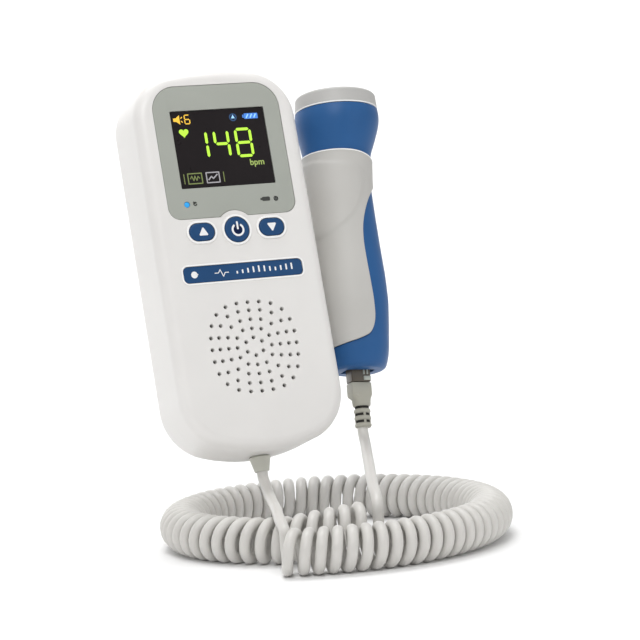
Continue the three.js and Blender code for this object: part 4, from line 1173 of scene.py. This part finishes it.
def make_lights():
    for node, x, radius, material, slot in (
            ("status_light", -light_spread, blue_light_radius, "led_blue", "light_blue"),
            ("battery_light", light_spread, dark_light_radius, "dark_lens", "light_dark")):
        rings = [at_depth(disc(x, light_height, radius), light_pipe_back)]
        rings += [at_depth(disc(x, light_height, radius * math.cos(angle)),
                           light_dome_base - light_dome_rise * math.sin(angle))
                  for angle in quarter_angles(8)[:-1]]
        add_piece(f"{node}_dome", loft(rings), material, "monitor", slot, node, sharp=60)
    status_mark = stroke(arc(*status_ring, *status_ring_angles, 12), status_ring_width)
    status_mark += stroke(status_tail, status_tail_width)
    battery_mark = [centred(*battery_mark_box, 4), centred(*battery_mark_tip, 2)]
    for name, outlines in (("status_mark", status_mark), ("battery_mark", battery_mark)):
        inlay(name, outlines, "ink_grey", "monitor", "bezel_grey", -mark_lift)


def domed_key(outline_of, reach):
    """A key's cap with a soft edge and a gentle crown, and its flange behind the cover."""
    flange_front = case_wall + clearance
    grown = clearance + button_flange_width
    rings = [at_depth(outline_of(grown), flange_front + button_flange_thickness),
             at_depth(outline_of(grown), flange_front), at_depth(outline_of(0), flange_front)]
    front = key_crown - button_proud
    rings += [at_depth(outline_of(-inset), front + drop) for inset, drop in rounding(key_edge, 6)]
    rings += [at_depth(outline_of(-key_edge - (reach - key_edge) * share),
                       front - key_crown * (1 - (1 - share) ** 2)) for share in key_crown_shares]
    return loft(rings)


def ring_mark(x, z, radius, width, start, end, steps=30):
    return (arc(x, z, radius + width / 2, start, end, steps)
            + arc(x, z, radius - width / 2, end, start, steps))


def rounded_triangle(x, z, turn):
    """An arrow head whose point is in the direction of the angle turn."""
    soft = arrow_size * arrow_corner_share
    points = []
    for angle in (turn + 2 * math.pi * k / 3 for k in range(3)):
        corner_x, corner_z = x + arrow_size * math.cos(angle), z + arrow_size * math.sin(angle)
        points += arc(corner_x - 2 * soft * math.cos(angle), corner_z - 2 * soft * math.sin(angle), soft,
                      angle - math.pi / 3, angle + math.pi / 3, 6)
    return points


def key_mark(name, outlines, key, material, lift=0):
    inlay(name, outlines, material, key, "key_blue", key_mark_front - lift)


def make_keys():
    for name, outline_of, reach in (("power", power_outline, power_button_radius),
                                    ("volume_up", left_pill, pill_width / 2),
                                    ("volume_down", right_pill, pill_width / 2)):
        add_piece(f"{name}_key", domed_key(outline_of, reach), "key_blue", f"{name}_button", "key_blue",
                  f"{name}_button")
    ring_x, ring_z = power_mark_shift, button_height - power_mark_shift
    key_mark("power_mark", [
        ring_mark(ring_x, ring_z, power_ring_radius, power_ring_width, *power_ring_angles),
        centred(ring_x, button_height + power_bar_rise, power_bar_width, power_bar_length,
                power_bar_corner_radius, 4)], "power_button", "ink_white", mark_lift)
    key_mark("power_well", [disc(ring_x, ring_z, power_well_radius, 32)], "power_button", "ink_navy")
    up_arrow = rounded_triangle(-pill_spread + up_arrow_shift, button_height - arrow_shift, math.pi / 2)
    down_arrow = rounded_triangle(pill_spread, button_height + arrow_shift, -math.pi / 2)
    key_mark("volume_up_mark", [up_arrow], "volume_up_button", "ink_white")
    key_mark("volume_down_mark", [down_arrow], "volume_down_button", "ink_white")


def make_strip():
    add_piece("label_plate", softened(strip_outline, -strip_proud, strip_thickness, strip_edge),
              "strip_blue", "monitor", "key_blue", "label_strip")
    marks = {
        "strip_dot": [disc(strip_dot_x, strip_height, strip_dot_radius, 32), centred(*strip_dot_tail, 3)],
        "strip_pulse": stroke([(x, strip_height + rise) for x, rise in pulse_steps], pulse_width),
        "strip_scale": [centred(scale_start + scale_pitch * k, strip_height - scale_drop + height / 2,
                                scale_width, height, scale_corner_radius, 3)
                        for k, height in enumerate(scale_heights)],
    }
    for name, outlines in marks.items():
        inlay(name, outlines, "ink_white", "monitor", "key_blue", -strip_proud - mark_lift)


def make_rim_highlight():
    """Painted highlight: bright bands on the rims round the keys and the strip."""
    plates, holes = [], []
    for outline_of, width, height, _ in rimmed:
        plate = outline_of(clearance + width * rim_highlight_share)
        plates.append(prism(plate, -height - highlight_lift, -height + highlight_lift))
        holes.append(prism(outline_of(clearance * rim_highlight_hole_share), -case_wall, case_wall))
    highlight = raw_object("rim_highlight", joined(plates))
    carve(highlight, holes)
    finish_piece(highlight, "trim_white", "monitor", "case_white")


make_bezel()
make_rim_highlight()
make_window()
make_screen_marks()
make_lights()
make_keys()
make_strip()


# Rear details

def make_door():
    rings = [at_depth(door_outline(-inset), case_depth - drop) for inset, drop in rounding(door_edge, 5)]
    back = at_depth(door_outline(0), case_depth - door_thickness)
    door = raw_object("battery_door_plate", loft([*reversed(rings), back]))
    tops = [bay_top - ridge_top_gap - ridge_pitch * k for k in range(ridge_count)]
    carve(door, [block(-ridge_half_length, ridge_half_length, case_depth - ridge_depth, behind_case,
                       top - ridge_width, top) for top in tops])
    finish_piece(door, "door_white", "battery_door", "case_white", "battery_door")


def make_relief():
    end = -case_length / 2 - clearance
    inside = -case_length / 2 + case_wall + clearance
    tip = end - relief_length - cord_cover
    flange_radius = relief_neck_radius + relief_flange_width
    flange_top = inside + relief_flange_thickness
    profile = [(0, tip)]
    profile += [(relief_tip_radius - drop, tip + rise) for rise, drop in rounding(relief_edge, 4)]
    profile += [(relief_top_radius + wider, end + higher) for wider, higher in relief_shoulder]
    profile += [(relief_neck_radius, end), (relief_neck_radius, inside), (flange_radius, inside),
                (flange_radius, flange_top), (0, flange_top)]
    add_piece("relief_cone", moved(turned(profile), cord_axis), "relief_grey", "monitor", "relief_grey",
              "cord_strain_relief")


make_door()
make_relief()


# Probe

def profile_at(height, column):
    """The handle's radius or shift at a height, on straight lines between the points of its profile."""
    shares = np.array(handle_profile_shares)
    return grip_radius * float(np.interp(height / handle_length, shares[:, 0], shares[:, column]))


def smooth_profile(height, column):
    """The same, averaged a little along the axis, so that it has no kinks."""
    reach = min(profile_reach, height * 0.5, (handle_length - height) * 0.5)
    return sum(profile_at(height + reach * k / 3, column) for k in range(-3, 4)) / 7


def handle_ring(height, grow, thumb_pad=0.0):
    radius, shift = smooth_profile(height, 1) + grow, smooth_profile(height, 2)
    ring = []
    for angle in full_angles(probe_sides):
        reach = radius
        if thumb_pad:
            reach += thumb_pad * pad_share(shift + radius * math.cos(angle), height)
        ring.append(Vector((shift + reach * math.cos(angle), reach * math.sin(angle), height)))
    return ring


def share_line(shares, wider, higher, step):
    """A smooth line through heights and reaches given as shares of the handle's size."""
    points = [(across * grip_radius + wider, 0, share * handle_length + higher) for share, across in shares]
    return [(p.x, p.z) for p in smooth_line(points, step)]


pad_points = np.array(share_line(thumb_pad_shares, 0, 0, pad_line_step))


def pad_share(x, z):
    """How far a point of the panel is up the thumb pad's soft slope, from 0 outside it to 1."""
    start, end = pad_points[:-1], pad_points[1:]
    along = end - start
    place = np.array((x, z)) - start
    t = np.clip((place * along).sum(1) / (along * along).sum(1), 0, 1)
    distance = float(np.hypot(*(place - along * t[:, None]).T).min())
    crossings = (start[:, 1] > z) != (end[:, 1] > z)
    reach = start[crossings, 0] + (z - start[crossings, 1]) / along[crossings, 1] * along[crossings, 0]
    if (reach > x).sum() % 2 == 0:
        return 0.0
    t = min(1.0, distance / thumb_pad_slope)
    return t * t * (3 - 2 * t)


def handle_body(grow, bottom, top, thumb_pad=0.0):
    """The handle's body grown by a little, straight where it runs past the handle's ends."""
    count = max(2, math.ceil((top - bottom) / probe_step))
    rings = []
    for k in range(count + 1):
        height = bottom + (top - bottom) * k / count
        known = min(max(height, 0), handle_length)
        ring = handle_ring(known, grow, thumb_pad)
        rings.append([Vector((p.x, p.y, height)) for p in ring])
    return loft(rings)


def panel_outline(grow):
    edge = share_line(panel_edge_shares, grow, 0, panel_line_step)
    top = share_line(panel_top_shares, 0, grow, panel_line_step)
    low = handle_length / 4
    return [(-2 * grip_radius, edge[0][1] - grow), *[(x, z - grow if z < low else z) for x, z in edge], *top]


def panel_zone(grow):
    """Closed shapes that hold the panel: its front, and its wrap round the left side above the dock."""
    front = prism(panel_outline(grow), -2 * grip_radius, -panel_edge_depth + grow)
    side = prism(rounded(-3 * grip_radius, -panel_wrap_share * grip_radius, panel_wrap_bottom - grow,
                         panel_wrap_top_share * handle_length + grow, panel_wrap_corner_radius),
                 -panel_edge_depth - panel_wrap_overlap, panel_wrap_depth + grow)
    return front, side


def taken_shape(piece):
    """A piece's points and faces, for which the piece itself is given up."""
    shape = [v.co.copy() for v in piece.data.vertices], [tuple(p.vertices) for p in piece.data.polygons]
    bpy.data.objects.remove(piece)
    return shape


def panel_shape(name, grow, outer, inner, thumb_pad=0.0):
    """The panel, or the pocket that it sits in, as an object."""
    front, side = panel_zone(grow)
    zone = raw_object("zone", front)
    carve(zone, [side], "UNION")
    panel = raw_object(name, handle_body(outer, panel_body_bottom, panel_body_top_share * handle_length,
                                         thumb_pad))
    carve(panel, [handle_body(inner, panel_hollow_bottom, panel_hollow_top_share * handle_length)])
    carve(panel, [taken_shape(zone)], "INTERSECT")
    return panel


def make_probe_body():
    """The blue shell in one piece, up to the lens cap, with the panel's pocket and the tail's opening."""
    rings = [handle_ring(height, -inset) for height, inset in rounding(tail_edge, 6)]
    straight = handle_length - tail_edge
    count = math.ceil(straight / probe_step)
    rings += [handle_ring(tail_edge + straight * k / count, 0) for k in range(1, count + 1)]
    body = raw_object("probe_shell", loft(rings))
    pocket = panel_shape("pocket", clearance / 2, panel_proud + pocket_reach,
                         panel_proud - panel_thickness - clearance)
    hole_x, hole_y = plug_nose_width / 2 + plug_hole_gap, plug_nose_depth / 2 + plug_hole_gap
    carve(body, [
        taken_shape(pocket),
        block(-hole_x, hole_x, -hole_y, hole_y, plug_hole_bottom, plug_hole_top),
        loft([tapered(tail_recess_width, tail_recess_depth, tail_recess_radius, height)
              for height in (-tail_recess_height, tail_recess_height)]),
    ])
    finish_piece(body, "probe_blue", "probe", "probe_blue", "probe_body", "probe_collar", sharp=34)


def make_grip_panel():
    panel = panel_shape("grip_cover", 0, panel_proud, panel_proud - panel_thickness, thumb_pad_height)
    finish_piece(panel, "grip_grey", "probe", "grip_grey", "probe_grip_panel", sharp=panel_sharp)
    # Painted highlight: a bright band along the panel's top edge
    highlight_lip = panel_shape("panel_highlight", 0, panel_proud + highlight_lift, panel_proud - panel_highlight_height)
    below = panel_shape("below_highlight", highlight_lift, panel_proud + panel_highlight_height,
                        panel_proud - 2 * panel_highlight_height)
    carve(highlight_lip, [moved(taken_shape(below), Vector((0, 0, -panel_highlight_height)))])
    finish_piece(highlight_lip, "trim_white", "probe", "grip_grey", sharp=panel_sharp)


def make_cap():
    head = grip_radius * handle_profile_shares[-1][1]
    bottom = handle_length + clearance
    top = bottom + cap_height
    shoulder = head - cap_taper
    highlight_lip = bottom + cap_highlight_height
    profile = [(0, highlight_lip), (head, highlight_lip)]
    profile += [(shoulder - inset, top - drop) for inset, drop in rounding(cap_edge_radius, 10)]
    profile.append((0, top))
    add_piece("lens_cap", turned(profile, cap_sides), "cap_grey", "probe", "cap_grey", "probe_lens_cap",
              sharp=cap_sharp)
    # Painted highlight: a bright band round the cap's lower edge
    add_piece("cap_highlight", turned([(0, bottom), (head, bottom), (head + highlight_lift, highlight_lip), (0, highlight_lip)], cap_sides),
              "trim_white", "probe", "cap_grey", sharp=cap_sharp)


make_probe_body()
make_grip_panel()
make_cap()


# Plug

def boot_bump(waist):
    """A low oval bump on the boot's front face, from a little behind it."""
    rings = []
    for angle in quarter_angles(6):
        scale = math.cos(angle) + bump_tip_share
        depth = boot_bump_sink - boot_face_depth / 2 - boot_bump_proud * math.sin(angle)
        rings.append([Vector((boot_bump_x + boot_bump_width / 2 * scale * math.cos(a), depth,
                              waist + boot_bump_rise + boot_bump_height / 2 * scale * math.sin(a)))
                      for a in full_angles(bump_sides)])
    return loft(rings)


def tail_ribs(waist, end):
    """The tail's ribs and the bridges that join them across the slots."""
    pitch = (waist - end) / tail_rib_count
    slot = pitch * tail_slot_share
    parts = []
    for k in range(tail_rib_count):
        high, low = waist - pitch * k - slot, waist - pitch * (k + 1)
        flat = tail_radius - tail_rib_edge
        parts.append(turned([(0, low), (flat, low), (tail_radius, low + tail_rib_edge),
                             (tail_radius, high - tail_rib_edge), (flat, high), (0, high)], tail_sides))
    for angle in tail_bridge_angles:
        along, across = math.cos(angle), math.sin(angle)
        points, faces = block(-tail_bridge_width / 2, tail_bridge_width / 2, tail_shade_core_radius / 2,
                              tail_radius - tail_rib_edge / 2, end + pitch / 2, waist - pitch / 2)
        placed = [Vector((p.x * across + p.y * along, -p.x * along + p.y * across, p.z)) for p in points]
        parts.append((placed, faces))
    return joined(parts)


def make_plug():
    top = -plug_nose_shown - clearance
    waist = top - boot_length
    end = waist - tail_length - cord_cover
    nose = add_piece("plug_body", loft([
        tapered(plug_nose_width, plug_nose_depth, plug_nose_corner_radius, height)
        for height in (-plug_nose_shown, plug_insertion)]),
        "clear_plug", "plug", "plug_clear", "plug_nose", soften=plug_nose_edge)
    front = -plug_nose_depth / 2
    # The latch's block and two small light bars that are painted glints
    add_piece("plug_latch_and_glints", joined([
        block(left, right, front - proud, front + latch_and_glint_reach, low, high)
        for left, right, proud, low, high in latch_and_glint_blocks]),
        "latch_clear", "plug", "plug_clear", soften=latch_and_glint_edge)
    boot = raw_object("plug_sleeve", loft([tapered(width, depth, radius, waist + height, shift)
                                           for width, depth, radius, height, shift in boot_sections]))
    carve(boot, [boot_bump(waist)], "UNION")
    finish_piece(boot, "boot_grey", "plug", "boot_grey", "plug_boot", sharp=45)
    shift = Vector((boot_end_shift, 0, 0))
    tail = add_piece("plug_tail", moved(tail_ribs(waist, end), shift), "boot_grey", "plug", "boot_grey")
    # A black core inside the ribs: painted shade in the tail's slots
    low, high = end + tail_shade_core_rise, waist + tail_shade_core_rise
    shade_core = turned([(0, low), (tail_shade_core_radius, low), (tail_shade_core_radius, high), (0, high)], tail_shade_core_sides)
    shade_core = add_piece("plug_tail_shade_core", moved(shade_core, shift), "slot_black", "plug", "boot_grey")
    return [nose, boot, tail, shade_core]


plug_pieces = make_plug()


# Finishes of the nodes that stay as they are

def dress_nodes():
    finishes = {
        "case_white": ["probe_dock"],
        "plain_black": ["display_module", "power_switch", "volume_up_switch", "volume_down_switch",
                        "speaker_dust_mesh", "speaker_cone", "processor_chip", "amplifier_chip",
                        "probe_jack"],
        "foam": ["display_gasket", "keypad_membrane", "speaker_gasket", "transducer_backing",
                 "probe_seal_ring"],
        "steel": ["speaker_frame", "tip_contact_left", "tip_contact_right", "battery_spring_left",
                  "battery_spring_right", *[f"board_screw_{k}" for k in range(1, 5)],
                  *[f"case_screw_{k}" for k in range(1, 5)]],
        "magnet_iron": ["speaker_magnet"],
        "board_green": ["main_board", "probe_board"],
        "strip_blue": ["board_capacitor"],
        "cell_wrap": ["battery_cell_left", "battery_cell_right"],
        "cap_grey": ["transducer_crystal"],
    }
    for material, names in finishes.items():
        for name in names:
            nodes[name].data.materials.clear()
            nodes[name].data.materials.append(looks[material])


dress_nodes()


# Table, backdrop and light

sweep_start = 0.62
sweep_radius = 0.9
sweep_side = 4.0
sweep_steps = 24
sky_strength = 0.51
table_color = (0.93, 0.93, 0.93)
table_roughness = 0.8
table_specular = 0.1

# Each light's place, target, size in metres and power in watts
lights = {
    "key": ((-0.5, -1.0, 1.1), (0, 0, -0.02), 0.7, 7.4),
    "fill": ((0.8, -1.3, 0.5), (0.02, 0, -0.03), 1.0, 1.5),
    "backdrop": ((0, 0.4, 1.4), (0, 1.5, 0.2), 1.2, 20),
}


def add_stage():
    """A table that sweeps up into the backdrop."""
    back = sweep_start + sweep_radius
    profile = [(-sweep_side, 0)]
    profile += [(back - near, rise) for rise, near in rounding(sweep_radius, sweep_steps)]
    profile.append((back, sweep_side))
    points = [(x, y, table_height + z) for y, z in profile for x in (-sweep_side, sweep_side)]
    faces = [(2 * k, 2 * k + 1, 2 * k + 3, 2 * k + 2) for k in range(len(profile) - 1)]
    table = raw_object("table_top", (points, faces))
    shader("table_white", table_color, table_roughness, specular=table_specular)
    shade(table, "table_white", usual_sharp)


def add_light(name, place, target, size, power):
    data = bpy.data.lights.new(name, "AREA")
    data.shape = "DISK"
    data.size = size
    data.energy = power
    light = new_object(name, data)
    light.location = place
    light.rotation_mode = "QUATERNION"
    light.rotation_quaternion = (Vector(target) - Vector(place)).to_track_quat("-Z", "Y")


def add_world():
    world = bpy.data.worlds.new("studio")
    world.use_nodes = True
    background = world.node_tree.nodes["Background"]
    background.inputs["Color"].default_value = (1, 1, 1, 1)
    background.inputs["Strength"].default_value = sky_strength
    bpy.context.scene.world = world


add_stage()
add_world()
for name, settings in lights.items():
    add_light(name, *settings)
bpy.context.scene.view_settings.view_transform = "Standard"
